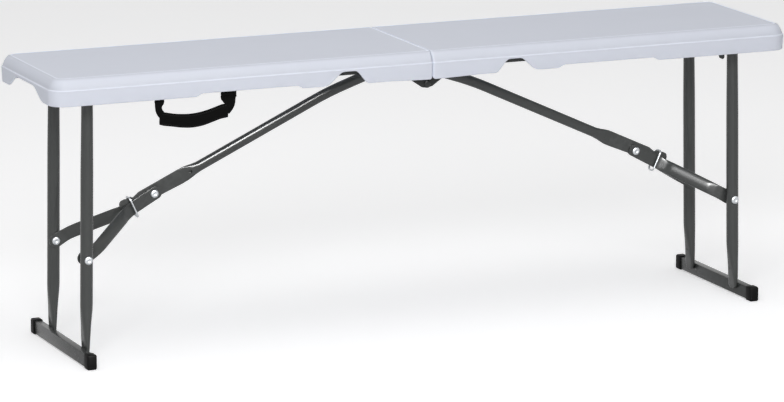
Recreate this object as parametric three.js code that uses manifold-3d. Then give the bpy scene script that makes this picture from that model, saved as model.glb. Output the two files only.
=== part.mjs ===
// A folding bench, four feet long, that folds in half with its legs inside.
// Millimetres, +Z up, ground at z = 0. The seam is at x = 0 and the near side at negative y.
// Both halves are alike: each piece is drawn for the half at positive x and mirrored for the other.

import * as THREE from "three";
import { mergeVertices } from "three/addons/utils/BufferGeometryUtils.js";
import Module from "manifold-3d";

const wasm = await Module();
wasm.setup();

// Overall sizes, and the two values that every joint between pieces uses.
const bench = { length: 1220, width: 255, height: 441 };
const gap = 0.3;
const overrun = 2;

// Blow-moulded seat panel: a solid core under a domed edge, with a skirt all round.
const panel = {
  skirtDepth: 41,
  seamGap: 1,
  cornerRadius: 26,
  seamCornerRadius: 4,
  edgeInset: 14.6,
  seamRound: 3.6,
  skirtWall: 4,
  ceilingDrop: 16.5,
  channelDrop: 9,
  channelHalfWidth: 17,
  channelStart: 24,
  channelClearance: 12,
  cornerSteps: 7,
  seamSteps: 2,
};
// The edge's profile from the skirt's foot to the field: how far down as a share of the skirt's
// depth, how far in as a share of the edge's inset, and how far in at the seam.
const edgeShares = [
  { down: 1, inward: 0.07, seam: 0 },
  { down: 0.463, inward: 0, seam: 0 },
  { down: 0.42, inward: 0.027, seam: 0 },
  { down: 0.4, inward: 0.11, seam: 0 },
  { down: 0.268, inward: 0.233, seam: 0 },
  { down: 0.146, inward: 0.425, seam: 0 },
  { down: 0.0585, inward: 0.657, seam: 0.11 },
  { down: 0.0195, inward: 0.795, seam: 0.33 },
  { down: 0, inward: 0.877, seam: 0.56 },
  { down: 0, inward: 0.932, seam: 0.72 },
  { down: 0.0195, inward: 1, seam: 1 },
];
// The skirt is shallower in places: an arch that takes the folded foot, a long run and both ends.
const footArch = {
  flatInward: 17, flatOutward: 7.6, ramp: 16.5, outwardRamp: 19, outwardStep: 7, stepRise: 3, rise: 20.7,
};
const shallowRun = { fromEnd: 228.5, length: 168, ramp: 6, rise: 4.7 };
const endNotch = { halfWidth: 73.5, flatHalfWidth: 43, rise: 19 };
const dimple = {
  rows: 50, first: 75, fromTube: 74.6, count: 5, radius: 8, tipRadius: 4.5, depth: 9, sides: 10,
};

// Steel rails under each panel. Screws hold them, and plates hang from their sides.
const rail = { width: 11, height: 11, wall: 1.5, start: 8, clearOfTube: 7.6, clearOfSkirt: 7 };
const railScrew = { fromEnds: 44, radius: 2, headRadius: 4, headHeight: 2, bite: 6, sides: 12 };

// Centre hinge: its axis lies below the skirt, so the folded legs fit between the halves.
const hinge = {
  drop: 11.5,
  eyeRadius: 7,
  leafThickness: 2.5,
  leafStart: 7,
  leafEnd: 46,
  shoulder: 9,
  shoulderDrop: 5.6,
  flank: 25.5,
  flankRise: 5.5,
  neck: 29,
  neckDrop: 1,
  pinRadius: 3,
  pinHeadRadius: 5.5,
  pinHeadHeight: 2,
  sides: 20,
};

// Leg frame: two round legs on a cross tube whose thin ends turn in two brackets.
const leg = {
  spacing: 149.5,
  radius: 9.5,
  topRadius: 8.7,
  pivotIn: 72.4,
  pivotDrop: 33.8,
  splay: 0.018,
  topCut: 6,
  topTaper: 110,
  pinShare: 0.38433,
  flatStart: 86,
  flatFull: 25,
  flatEnd: 11.5,
  flatHalfWidth: 12,
  flatHalfThickness: 3,
  endRound: 8,
  ventRadius: 1.6,
  ventRise: 44,
  ventSides: 8,
};
const crossTube = { radius: 8, journalRadius: 5, wall: 1.5, sides: 20, pastBracket: 2 };
const bracket = { thickness: 2.5, length: 64, rim: 3, hookIn: 36.6, hookWidth: 9.8, hookDrop: 7.2 };
const footBar = { thickness: 12, height: 20, wall: 1.5, kick: 17.4 };
const footCap = { span: 262, wall: 1.5, endWall: 2, length: 16, slip: 0.2, round: 2.5 };

// Upper brace: an oval tube, flat at both ends, with a tongue past the knee rivet.
const brace = {
  pivotX: 16,
  pivotDrop: 40,
  bendOut: 111.3,
  bendRise: 7.36,
  kneeRise: 10.66,
  halfHeight: 8,
  halfWidth: 6.3,
  eyeRadius: 8,
  flatHalf: 1.3,
  tubeRise: 1.9,
  flatLow: 9.3,
  flatHigh: 13.8,
  flatLength: 50,
  flareLength: 82,
  holeIn: 65.5,
  holeRadius: 2.8,
};
const braceRod = { radius: 4, sides: 16 };
const tongueLength = 57;
// The tongue's outline past the knee, clockwise from its top: shares of its length outward, and
// of the brace's flat height up (above zero) or down (below zero).
const tongueShares = [
  [0.36, 1],
  [0.56, 0.8],
  [0.62, 1],
  [0.745, 1],
  [0.775, 1.06],
  [0.83, 1.1],
  [0.92, 1.08],
  [0.98, 0.84],
  [1, 0.38],
  [0.93, -0.21],
  [0.7, -0.59],
];
// Where the lock ring's upper wire rests on the tongue, in the same shares.
const ringSeatShare = { out: 0.686, up: 1 };

// Y arms, one to each leg: flat at the knee and at the leg, and an oval tube between.
const arm = {
  plate: 2,
  halfHeight: 10,
  endRound: 12,
  straight: 47,
  tubeHalfWidth: 4.6,
  tubeHalfHeight: 10.4,
  legStraight: 22,
  legRound: 10.5,
};
const rivet = { radius: 3, headRadius: 6.3, headHeight: 1.9, sides: 16 };

// Wire ring that slides over the tongue and both arms and locks the knee.
const ring = {
  wire: 1.4, innerHalfHeight: 15.6, innerHalfWidth: 7, corner: 4, sides: 8, cornerSteps: 4,
};

// Carrying handle: webbing with a sewn sleeve, on the near side of the half at negative x.
const handle = {
  fromEnd: 223, span: 111.6, drop: 45, pivotDrop: 45, webHalf: 11.5, strapThickness: 3, sleeveThickness: 6,
  anchorRise: 24,
};
// Places along each strip: across as a share of the span, down as a share of the drop, and
// half the width as a share of the webbing's.
const innerStrapShares = [
  { across: 0.512, down: 0, half: 1.07 },
  { across: 0.512, down: 0.03, half: 1.06 },
  { across: 0.519, down: 0.1, half: 0.93 },
  { across: 0.529, down: 0.244, half: 0.72 },
  { across: 0.513, down: 0.4, half: 0.55 },
  { across: 0.484, down: 0.555, half: 0.35 },
];
const outerStrapShares = [
  { across: -0.474, down: 0, half: 0.64 },
  { across: -0.474, down: 0.03, half: 0.62 },
  { across: -0.483, down: 0.1, half: 0.53 },
  { across: -0.487, down: 0.207, half: 0.45 },
  { across: -0.478, down: 0.313, half: 0.46 },
  { across: -0.452, down: 0.422, half: 0.49 },
  { across: -0.421, down: 0.51, half: 0.47 },
];
const sleeveShares = [
  { across: -0.467, down: 0.588, half: 0.76 },
  { across: -0.405, down: 0.598, half: 0.87 },
  { across: -0.287, down: 0.653, half: 0.85 },
  { across: -0.157, down: 0.701, half: 0.89 },
  { across: -0.025, down: 0.72, half: 0.92 },
  { across: 0.112, down: 0.69, half: 0.92 },
  { across: 0.247, down: 0.611, half: 0.88 },
  { across: 0.363, down: 0.527, half: 0.88 },
  { across: 0.451, down: 0.481, half: 0.93 },
  { across: 0.497, down: 0.483, half: 0.88 },
];

// Materials, with colour and finish from the photograph.
const paint = (color, roughness, metalness) => () =>
  new THREE.MeshStandardMaterial({ color, roughness, metalness });
const plastic = paint(0xd6d9e0, 0.55, 0);
const steel = paint(0x4a4c4c, 0.5, 0.3);
const zinc = paint(0xc4c8cc, 0.3, 0.9);
const rubber = paint(0x161616, 0.6, 0);
const webbing = paint(0x0e0e0e, 0.9, 0);

// Heights and places worked out from the sizes above.
const skirtZ = bench.height - panel.skirtDepth;
const ceilingZ = bench.height - panel.ceilingDrop;
const channelZ = bench.height - panel.channelDrop;
const hingeZ = skirtZ - hinge.drop;
const halfWidth = bench.width / 2;
const skirtInner = halfWidth - panel.skirtWall;
const railOuter = skirtInner - rail.clearOfSkirt;
const railInner = railOuter - rail.width;
const railTop = ceilingZ - gap;
const railBottom = railTop - rail.height;
const leafOuter = railInner - gap;
const bracketInner = railOuter + gap;
const bracketOuter = bracketInner + bracket.thickness;
const legY = leg.spacing / 2;
const legInner = legY - leg.radius;
const legOuter = legY + leg.radius;
const armInner = brace.flatHalf + gap;
const legPivot = new THREE.Vector2(bench.length / 2 - leg.pivotIn, bench.height - leg.pivotDrop);
const footX = legPivot.x + footBar.kick;
const tubeInner = legPivot.x - crossTube.radius;
const railEnd = tubeInner - rail.clearOfTube;
const legX = (z) => legPivot.x + (legPivot.y - z) * leg.splay;
const pinHeight = legPivot.y * leg.pinShare;
const legPin = new THREE.Vector2(legX(pinHeight), pinHeight);
const bracePivot = new THREE.Vector2(brace.pivotX, bench.height - brace.pivotDrop);
const legFold = Math.PI / 2 + Math.atan(leg.splay);
const barBottom = footCap.wall + footCap.slip;
const barHalf = footCap.span / 2 - footCap.endWall - footCap.slip;
const polar = (angle, length) => new THREE.Vector2(Math.cos(angle), Math.sin(angle)).multiplyScalar(length);

// Where the legs' pins and the foot lie when the legs are folded flat.
const foldedLegPin = new THREE.Vector2(legPivot.x - legPin.distanceTo(legPivot), legPivot.y);
const footCentre = new THREE.Vector2(footX, barBottom + footBar.height / 2);
const foldedFoot = footCentre.clone().rotateAround(legPivot, -legFold);

// The knee lies a little above the line from the brace's pivot to the leg's pin, and as far out
// as lets arm and brace meet both when open and when folded flat.
function beyond(from, to, along, rise) {
  const way = to.clone().sub(from).normalize();
  const above = new THREE.Vector2(-way.y, way.x);
  return from.clone().addScaledVector(way, along).addScaledVector(above, rise);
}
function linkageAt(kneeOut) {
  const knee = beyond(bracePivot, legPin, kneeOut, brace.kneeRise);
  const bend = beyond(bracePivot, knee, brace.bendOut, brace.bendRise);
  const slope = Math.atan2(bend.y - knee.y, knee.x - bend.x);
  const foldedKnee = knee.clone().rotateAround(bracePivot, slope);
  const miss = foldedKnee.distanceTo(foldedLegPin) - knee.distanceTo(legPin);
  return { knee, bend, slope, foldedKnee, miss };
}
function solveKnee(low, high, steps) {
  const middle = (low + high) / 2;
  if (steps === 0) return linkageAt(middle);
  return linkageAt(middle).miss < 0 ? solveKnee(middle, high, steps - 1) : solveKnee(low, middle, steps - 1);
}
const reach = bracePivot.distanceTo(legPin);
const { knee, bend: braceBend, slope, foldedKnee } = solveKnee(reach / 2, reach, 40);
const outward = new THREE.Vector2(Math.cos(slope), -Math.sin(slope));
const upward = new THREE.Vector2(Math.sin(slope), Math.cos(slope));
// A point given as distance out along the brace from the knee, and height above it.
const onBrace = (along, above) =>
  knee.clone().addScaledVector(outward, along).addScaledVector(upward, above);
const ringUp = ringSeatShare.up * brace.flatHigh + gap - ring.innerHalfHeight;

// Solids and cuts.

function flipped(geometry) {
  const index = geometry.index.array;
  for (let i = 0; i < index.length; i += 3) [index[i + 1], index[i + 2]] = [index[i + 2], index[i + 1]];
  return geometry;
}

function volumeOf(geometry) {
  const { position } = geometry.attributes;
  const [a, b, c] = [new THREE.Vector3(), new THREE.Vector3(), new THREE.Vector3()];
  let volume = 0;
  for (let i = 0; i < geometry.index.count; i += 3) {
    a.fromBufferAttribute(position, geometry.index.getX(i));
    b.fromBufferAttribute(position, geometry.index.getX(i + 1));
    c.fromBufferAttribute(position, geometry.index.getX(i + 2));
    volume += a.dot(b.cross(c));
  }
  return volume;
}

// One outward-facing mesh with positions only, its shared vertices merged.
function welded(geometry) {
  const bare = geometry.clone();
  bare.deleteAttribute("normal");
  bare.deleteAttribute("uv");
  const merged = mergeVertices(bare);
  const kept = [];
  for (let i = 0; i < merged.index.count; i += 3) {
    const [a, b, c] = [0, 1, 2].map((corner) => merged.index.getX(i + corner));
    if (a !== b && b !== c && c !== a) kept.push(a, b, c);
  }
  merged.setIndex(kept);
  return volumeOf(merged) < 0 ? flipped(merged) : merged;
}

function solid(geometry) {
  const merged = welded(geometry);
  return new wasm.Manifold(
    new wasm.Mesh({
      numProp: 3,
      vertProperties: new Float32Array(merged.attributes.position.array),
      triVerts: new Uint32Array(merged.index.array),
    }),
  );
}

function geometryOf(body) {
  const { vertProperties, triVerts } = body.getMesh();
  const geometry = new THREE.BufferGeometry();
  geometry.setAttribute("position", new THREE.BufferAttribute(new Float32Array(vertProperties), 3));
  geometry.setIndex(new THREE.BufferAttribute(new Uint32Array(triVerts), 1));
  return geometry;
}

function cut(geometry, ...cutters) {
  return geometryOf(cutters.reduce((body, cutter) => body.subtract(solid(cutter)), solid(geometry)));
}

function joined(...geometries) {
  return geometryOf(geometries.map(solid).reduce((body, next) => body.add(next)));
}

function mirrored(geometry, x, y) {
  const copy = welded(geometry).scale(x, y, 1);
  return x * y < 0 ? flipped(copy) : copy;
}

// A closed solid through a stack of loops with the same number of points each.
function loft(loops) {
  const count = loops[0].length;
  const points = loops.flat();
  const index = [];
  for (let level = 0; level + 1 < loops.length; level += 1) {
    for (let i = 0; i < count; i += 1) {
      const a = level * count + i;
      const b = level * count + ((i + 1) % count);
      index.push(a, b, b + count, a, b + count, a + count);
    }
  }
  for (const [start, reverse] of [[0, true], [(loops.length - 1) * count, false]]) {
    const centre = new THREE.Vector3();
    for (let i = 0; i < count; i += 1) centre.addScaledVector(points[start + i], 1 / count);
    const middle = points.push(centre) - 1;
    for (let i = 0; i < count; i += 1) {
      const edge = [start + i, start + ((i + 1) % count)];
      index.push(middle, ...(reverse ? edge.reverse() : edge));
    }
  }
  const geometry = new THREE.BufferGeometry().setFromPoints(points);
  geometry.setIndex(index);
  return geometry;
}

// An outline in the x and z plane, given thickness from one y to another.
function plate(outline, fromY, toY, holes = []) {
  const shape = new THREE.Shape(outline.map(([x, z]) => new THREE.Vector2(x, z)));
  for (const { x, z, radius, sides } of holes) {
    const hole = new THREE.Path();
    for (let i = 0; i < sides; i += 1) {
      const angle = (-i / sides) * Math.PI * 2;
      const at = [x + Math.cos(angle) * radius, z + Math.sin(angle) * radius];
      if (i === 0) hole.moveTo(...at);
      else hole.lineTo(...at);
    }
    shape.holes.push(hole);
  }
  const geometry = new THREE.ExtrudeGeometry(shape, { depth: toY - fromY, bevelEnabled: false });
  return geometry.rotateX(Math.PI / 2).translate(0, toY, 0);
}

function box(fromX, toX, fromY, toY, fromZ, toZ) {
  const geometry = new THREE.BoxGeometry(toX - fromX, toY - fromY, toZ - fromZ);
  return geometry.translate((fromX + toX) / 2, (fromY + toY) / 2, (fromZ + toZ) / 2);
}

// A round bar along y, a piece turned about y from radius and y pairs, and an upright bar.
function barAlongY(radius, fromY, toY, sides) {
  return new THREE.CylinderGeometry(radius, radius, toY - fromY, sides).translate(0, (fromY + toY) / 2, 0);
}

function turned(profile, sides) {
  return new THREE.LatheGeometry(profile.map(([radius, y]) => new THREE.Vector2(radius, y)), sides);
}

function upright(radius, fromZ, toZ, sides) {
  const geometry = new THREE.CylinderGeometry(radius, radius, toZ - fromZ, sides).rotateX(Math.PI / 2);
  return geometry.translate(0, 0, (fromZ + toZ) / 2);
}

// A cross-section of a bent tube: its centre, the tilt of its height in the x and z plane, its
// half sizes, how square it is, and how far it leans from the y axis.
function section({ x, y = 0, z, tilt, halfHeight, halfWidth: half, square = 2, lean = 0 }, sides) {
  const loop = [];
  const power = 2 / square;
  const rounded = (value) => Math.sign(value) * Math.abs(value) ** power;
  for (let i = 0; i < sides; i += 1) {
    const angle = ((i + 0.5) / sides) * Math.PI * 2;
    const across = rounded(Math.cos(angle)) * half;
    const high = rounded(Math.sin(angle)) * halfHeight;
    loop.push(
      new THREE.Vector3(
        x + Math.sin(tilt) * high + Math.cos(tilt) * across * Math.sin(lean),
        y + across * Math.cos(lean),
        z + Math.cos(tilt) * high - Math.sin(tilt) * across * Math.sin(lean),
      ),
    );
  }
  return loop;
}

// Seat panels.

function panelLoop(inset, seamInset, z) {
  const loop = [];
  const seamRadius = panel.seamCornerRadius;
  const outerRadius = Math.max(panel.cornerRadius - inset, seamRadius);
  const corner = (x, y, radius, from, steps) => {
    for (let i = 0; i <= steps; i += 1) {
      const angle = from + (i / steps) * (Math.PI / 2);
      loop.push(new THREE.Vector3(x + Math.cos(angle) * radius, y + Math.sin(angle) * radius, z));
    }
  };
  const outerX = bench.length / 2 - inset - outerRadius;
  const outerY = halfWidth - inset - outerRadius;
  const seamX = panel.seamGap / 2 + seamInset + seamRadius;
  const seamY = halfWidth - inset - seamRadius;
  corner(outerX, outerY, outerRadius, 0, panel.cornerSteps);
  corner(seamX, seamY, seamRadius, Math.PI / 2, panel.seamSteps);
  corner(seamX, -seamY, seamRadius, Math.PI, panel.seamSteps);
  corner(outerX, -outerY, outerRadius, Math.PI * 1.5, panel.cornerSteps);
  return loop;
}

const railMiddle = (railInner + railOuter) / 2;
const screwX = [rail.start + railScrew.fromEnds, railEnd - railScrew.fromEnds];
const screwHole = (x, y, fromZ, toZ) =>
  upright(railScrew.radius + gap, fromZ, toZ, railScrew.sides).translate(x, y, 0);

function seatPanel() {
  const { skirtWall, edgeInset, seamRound, skirtDepth } = panel;
  const shell = loft(
    edgeShares.map(({ down, inward, seam }) =>
      panelLoop(inward * edgeInset, seam * seamRound, bench.height - down * skirtDepth),
    ),
  );
  const pocket = loft([
    panelLoop(skirtWall, skirtWall, skirtZ - overrun),
    panelLoop(skirtWall, skirtWall, ceilingZ),
  ]);
  const low = skirtZ - overrun;
  const archIn = foldedFoot.x - footArch.flatInward;
  const archOut = foldedFoot.x + footArch.flatOutward;
  const arch = [
    [archIn - footArch.ramp, low],
    [archIn - footArch.ramp, skirtZ],
    [archIn, skirtZ + footArch.rise],
    [archOut, skirtZ + footArch.rise],
    [archOut + footArch.outwardRamp, skirtZ + footArch.stepRise],
    [archOut + footArch.outwardRamp + footArch.outwardStep, skirtZ],
    [archOut + footArch.outwardRamp + footArch.outwardStep, low],
  ];
  const runOut = bench.length / 2 - shallowRun.fromEnd;
  const runIn = runOut - shallowRun.length;
  const run = [
    [runIn, low],
    [runIn, skirtZ],
    [runIn + shallowRun.ramp, skirtZ + shallowRun.rise],
    [runOut - shallowRun.ramp, skirtZ + shallowRun.rise],
    [runOut, skirtZ],
    [runOut, low],
  ];
  const notch = [
    [-endNotch.halfWidth, low],
    [-endNotch.halfWidth, skirtZ],
    [-endNotch.flatHalfWidth, skirtZ + endNotch.rise],
    [endNotch.flatHalfWidth, skirtZ + endNotch.rise],
    [endNotch.halfWidth, skirtZ],
    [endNotch.halfWidth, low],
  ];
  const across = halfWidth + overrun;
  const channelEnd = foldedKnee.x + tongueLength + panel.channelClearance;
  const { channelHalfWidth: side } = panel;
  const channel = box(panel.channelStart, channelEnd, -side, side, ceilingZ - overrun, channelZ);
  const dimples = [];
  const height = dimple.depth + overrun;
  const pitch = (tubeInner - dimple.fromTube - dimple.first) / (dimple.count - 1);
  for (const y of [-dimple.rows, dimple.rows]) {
    for (let i = 0; i < dimple.count; i += 1) {
      const cone = new THREE.CylinderGeometry(dimple.tipRadius, dimple.radius, height, dimple.sides);
      const x = dimple.first + i * pitch;
      dimples.push(cone.rotateX(Math.PI / 2).translate(x, y, ceilingZ - overrun + height / 2));
    }
  }
  const holes = [-railMiddle, railMiddle].flatMap((y) =>
    screwX.map((x) => screwHole(x, y, ceilingZ - overrun, ceilingZ + railScrew.bite + gap)),
  );
  return cut(
    shell,
    pocket,
    channel,
    ...dimples,
    ...holes,
    plate(arch, -across, across),
    plate(run, -across, across),
    plate(notch, -skirtWall - overrun, overrun).rotateZ(Math.PI / 2).translate(bench.length / 2, 0, 0),
  );
}

// Rails, their screws, and the plates that hang from them.

function sideRail() {
  const { start, wall } = rail;
  return cut(
    box(start, railEnd, railInner, railOuter, railBottom, railTop),
    box(start - overrun, railEnd + overrun, railInner + wall, railOuter - wall, railBottom + wall, railTop - wall),
    ...screwX.map((x) => screwHole(x, railMiddle, railBottom - overrun, railTop + overrun)),
  );
}

function railScrewPiece() {
  const under = railBottom - gap;
  const profile = [
    [0, under - railScrew.headHeight],
    [railScrew.headRadius * 0.7, under - railScrew.headHeight],
    [railScrew.headRadius, under - railScrew.headHeight / 3],
    [railScrew.headRadius, under],
    [railScrew.radius, under],
    [railScrew.radius, ceilingZ + railScrew.bite],
    [0, ceilingZ + railScrew.bite],
  ];
  return turned(profile, railScrew.sides).rotateX(Math.PI / 2);
}

// The outline of a hinge leaf below the rail: round at the pin, with a neck up to the rail.
function eyeOutline(top) {
  const outline = [];
  for (let i = 0; i <= hinge.sides; i += 1) {
    const angle = Math.PI * (0.75 + (i / hinge.sides) * 0.8);
    outline.push([Math.cos(angle) * hinge.eyeRadius, hingeZ + Math.sin(angle) * hinge.eyeRadius]);
  }
  const neckZ = skirtZ - hinge.neckDrop;
  outline.push([hinge.shoulder, hingeZ - hinge.shoulderDrop]);
  outline.push([hinge.flank, hingeZ + hinge.flankRise], [hinge.neck, neckZ]);
  return [...outline, [hinge.neck, top], [hinge.leafStart, top], [hinge.leafStart, neckZ]];
}

// The outer leaf is flat. The inner leaf steps in by its own thickness below the rail.
function hingeLeaf(stepped) {
  const { leafThickness: thick, leafStart, leafEnd, neck } = hinge;
  const step = stepped ? thick + gap : 0;
  const stepZ = Math.max(bracePivot.y + braceRod.radius, railBottom - thick) + gap;
  const hung = plate([[leafStart, stepZ], [neck, stepZ], [leafEnd, railBottom + thick], [leafEnd, railTop],
    [leafStart, railTop]], leafOuter - thick, leafOuter);
  const ledge = plate([[leafStart, stepZ], [neck, stepZ], [neck, stepZ + thick], [leafStart, stepZ + thick]],
    leafOuter - thick - step, leafOuter);
  const eye = plate(eyeOutline(stepZ + thick), leafOuter - thick - step, leafOuter - step);
  const drill = (radius, at, sides) => barAlongY(radius, railInner - thick * 4, railInner, sides).translate(...at);
  return cut(
    joined(hung, ledge, eye),
    drill(hinge.pinRadius + gap, [0, 0, hingeZ], hinge.sides),
    drill(braceRod.radius + gap, [bracePivot.x, 0, bracePivot.y], braceRod.sides),
  );
}

function hingePin() {
  const { pinRadius, pinHeadRadius, pinHeadHeight: head } = hinge;
  const outer = leafOuter + gap;
  const inner = leafOuter - hinge.leafThickness * 2 - gap * 2;
  return turned(
    [
      [0, inner - head],
      [pinHeadRadius * 0.7, inner - head],
      [pinHeadRadius, inner - head / 2],
      [pinHeadRadius, inner],
      [pinRadius, inner],
      [pinRadius, outer],
      [pinHeadRadius, outer],
      [pinHeadRadius, outer + head / 2],
      [pinHeadRadius * 0.7, outer + head],
      [0, outer + head],
    ],
    hinge.sides,
  );
}

// One of each half's two brackets has a claw below it: the near one at right, the far one at left.
function legBracket(clawed) {
  const { rim, length, hookIn, hookWidth, hookDrop } = bracket;
  const { x, y: z } = legPivot;
  const reach = crossTube.journalRadius + gap + rim;
  const start = x + reach - length;
  const hookStart = x - hookIn - hookWidth;
  const low = z - reach - hookDrop;
  const claw = [
    [hookStart + hookWidth * 0.15, low + hookDrop * 0.35],
    [hookStart + hookWidth * 0.7, low],
    [hookStart + hookWidth, low + hookDrop * 0.35],
    [hookStart + hookWidth, z - reach],
  ];
  const outline = [
    [start, railTop],
    [start, railBottom],
    [hookStart, z - reach],
    ...(clawed ? claw : []),
    [x + reach / 2, z - reach],
    [x + reach, z - reach / 2],
    [x + reach, railTop],
  ];
  const hole = { x, z, radius: crossTube.journalRadius + gap, sides: crossTube.sides };
  return plate(outline, bracketInner, bracketOuter, [hole]);
}

// Leg frame.

function legTube() {
  const { radius, flatStart, flatFull, flatEnd, flatHalfWidth, flatHalfThickness, endRound } = leg;
  const round = { halfHeight: radius, halfWidth: radius, square: 2 };
  const cross = (z, values) => section({ x: legX(z), y: legY, z, tilt: Math.PI / 2, ...values }, 16);
  const flatX = footX - footBar.thickness / 2 - gap - flatHalfThickness;
  const flat = { x: flatX, halfHeight: flatHalfThickness, halfWidth: flatHalfWidth, square: 5 };
  const top = legPivot.y - leg.topCut;
  const middle = (flatStart + flatFull) / 2;
  const tube = loft([
    cross(flatEnd, { ...flat, halfWidth: flatHalfWidth * 0.35 }),
    cross(flatEnd + endRound * 0.3, { ...flat, halfWidth: flatHalfWidth * 0.75 }),
    cross(flatEnd + endRound, flat),
    cross(flatFull, flat),
    cross(middle, {
      x: (flatX + legX(middle)) / 2,
      halfHeight: (radius + flatHalfThickness) / 2,
      halfWidth: (radius + flatHalfWidth) / 2,
      square: 2.6,
    }),
    cross(flatStart, round),
    cross(top - leg.topTaper, round),
    cross(top, { ...round, halfHeight: leg.topRadius, halfWidth: leg.topRadius }),
  ]);
  const saddle = barAlongY(crossTube.radius + gap, 0, leg.spacing, crossTube.sides);
  const pinHole = barAlongY(rivet.radius + gap, 0, leg.spacing, rivet.sides);
  const vent = new THREE.CylinderGeometry(leg.ventRadius, leg.ventRadius, radius, leg.ventSides);
  return cut(
    tube,
    saddle.translate(legPivot.x, 0, legPivot.y),
    pinHole.translate(legPin.x, 0, legPin.y),
    vent.rotateZ(Math.PI / 2).translate(flatX - radius / 2, legY, leg.ventRise),
  );
}

// The cross tube necks down at both ends to the journals that turn in the brackets.
function crossTubePiece() {
  const { radius, journalRadius, wall, pastBracket } = crossTube;
  const shoulder = bracketInner - gap;
  const half = bracketOuter + pastBracket;
  const end = [
    [radius - wall, shoulder - wall],
    [journalRadius - wall, shoulder - wall],
    [journalRadius - wall, half],
    [journalRadius, half],
    [journalRadius, shoulder],
    [radius, shoulder],
  ];
  const otherEnd = end.map(([r, y]) => [r, -y]).reverse();
  return turned([...end, ...otherEnd, end[0]], crossTube.sides);
}

function footBarTube() {
  const { thickness, height, wall } = footBar;
  const [fromX, toX] = [footX - thickness / 2, footX + thickness / 2];
  return cut(
    box(fromX, toX, -barHalf, barHalf, barBottom, barBottom + height),
    box(fromX + wall, toX - wall, -barHalf - overrun, barHalf + overrun, barBottom + wall, barBottom + height - wall),
  );
}

// A cap slips over the bar's end. Its outer edges are rounded by shrinking loops.
function footCapPiece() {
  const { wall, slip, length, endWall, round } = footCap;
  const halfX = footBar.thickness / 2 + slip + wall;
  const halfZ = footBar.height / 2 + slip + wall;
  const end = footCap.span / 2;
  const loop = (y, shrink) => {
    const points = [];
    const radius = round - shrink / 2;
    [[1, 1], [-1, 1], [-1, -1], [1, -1]].forEach(([sx, sz], quarter) => {
      for (let i = 0; i <= 2; i += 1) {
        const angle = (quarter + i / 2) * (Math.PI / 2);
        const x = sx * (halfX - shrink - radius) + Math.cos(angle) * radius;
        const z = sz * (halfZ - shrink - radius) + Math.sin(angle) * radius;
        points.push(new THREE.Vector3(x, y, z));
      }
    });
    return points;
  };
  const outside = loft([
    loop(end - length, 0),
    loop(end - round, 0),
    loop(end - round * 0.3, round * 0.3),
    loop(end, round),
  ]);
  const inside = box(wall - halfX, halfX - wall, end - length - overrun, end - endWall, wall - halfZ, halfZ - wall);
  return cut(outside, inside).translate(0, 0, halfZ);
}

// Rivets lie along y: a domed head at one end and a plain shank to the other.
function rivetProfile(headY, tailY) {
  const height = Math.sign(headY - tailY) * rivet.headHeight;
  const { radius, headRadius } = rivet;
  return [
    [0, headY + height],
    [headRadius * 0.55, headY + height * 0.85],
    [headRadius * 0.9, headY + height * 0.45],
    [headRadius, headY],
    [radius, headY],
    [radius, tailY],
    [0, tailY],
  ];
}

const legRivet = () => turned(rivetProfile(legOuter + gap, legInner + gap), rivet.sides);
const armRivet = () => turned(rivetProfile(legInner - gap * 2 - arm.plate, legInner - gap), rivet.sides);

function kneeRivet() {
  const end = [...rivetProfile(armInner + arm.plate + gap, 0).slice(0, -1)];
  const otherEnd = end.map(([radius, y]) => [radius, -y]).reverse();
  return turned([...end, ...otherEnd.slice(1)], rivet.sides);
}

// Upper brace. A small hole goes through one wall only: the near one at left, the far one at right.

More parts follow.
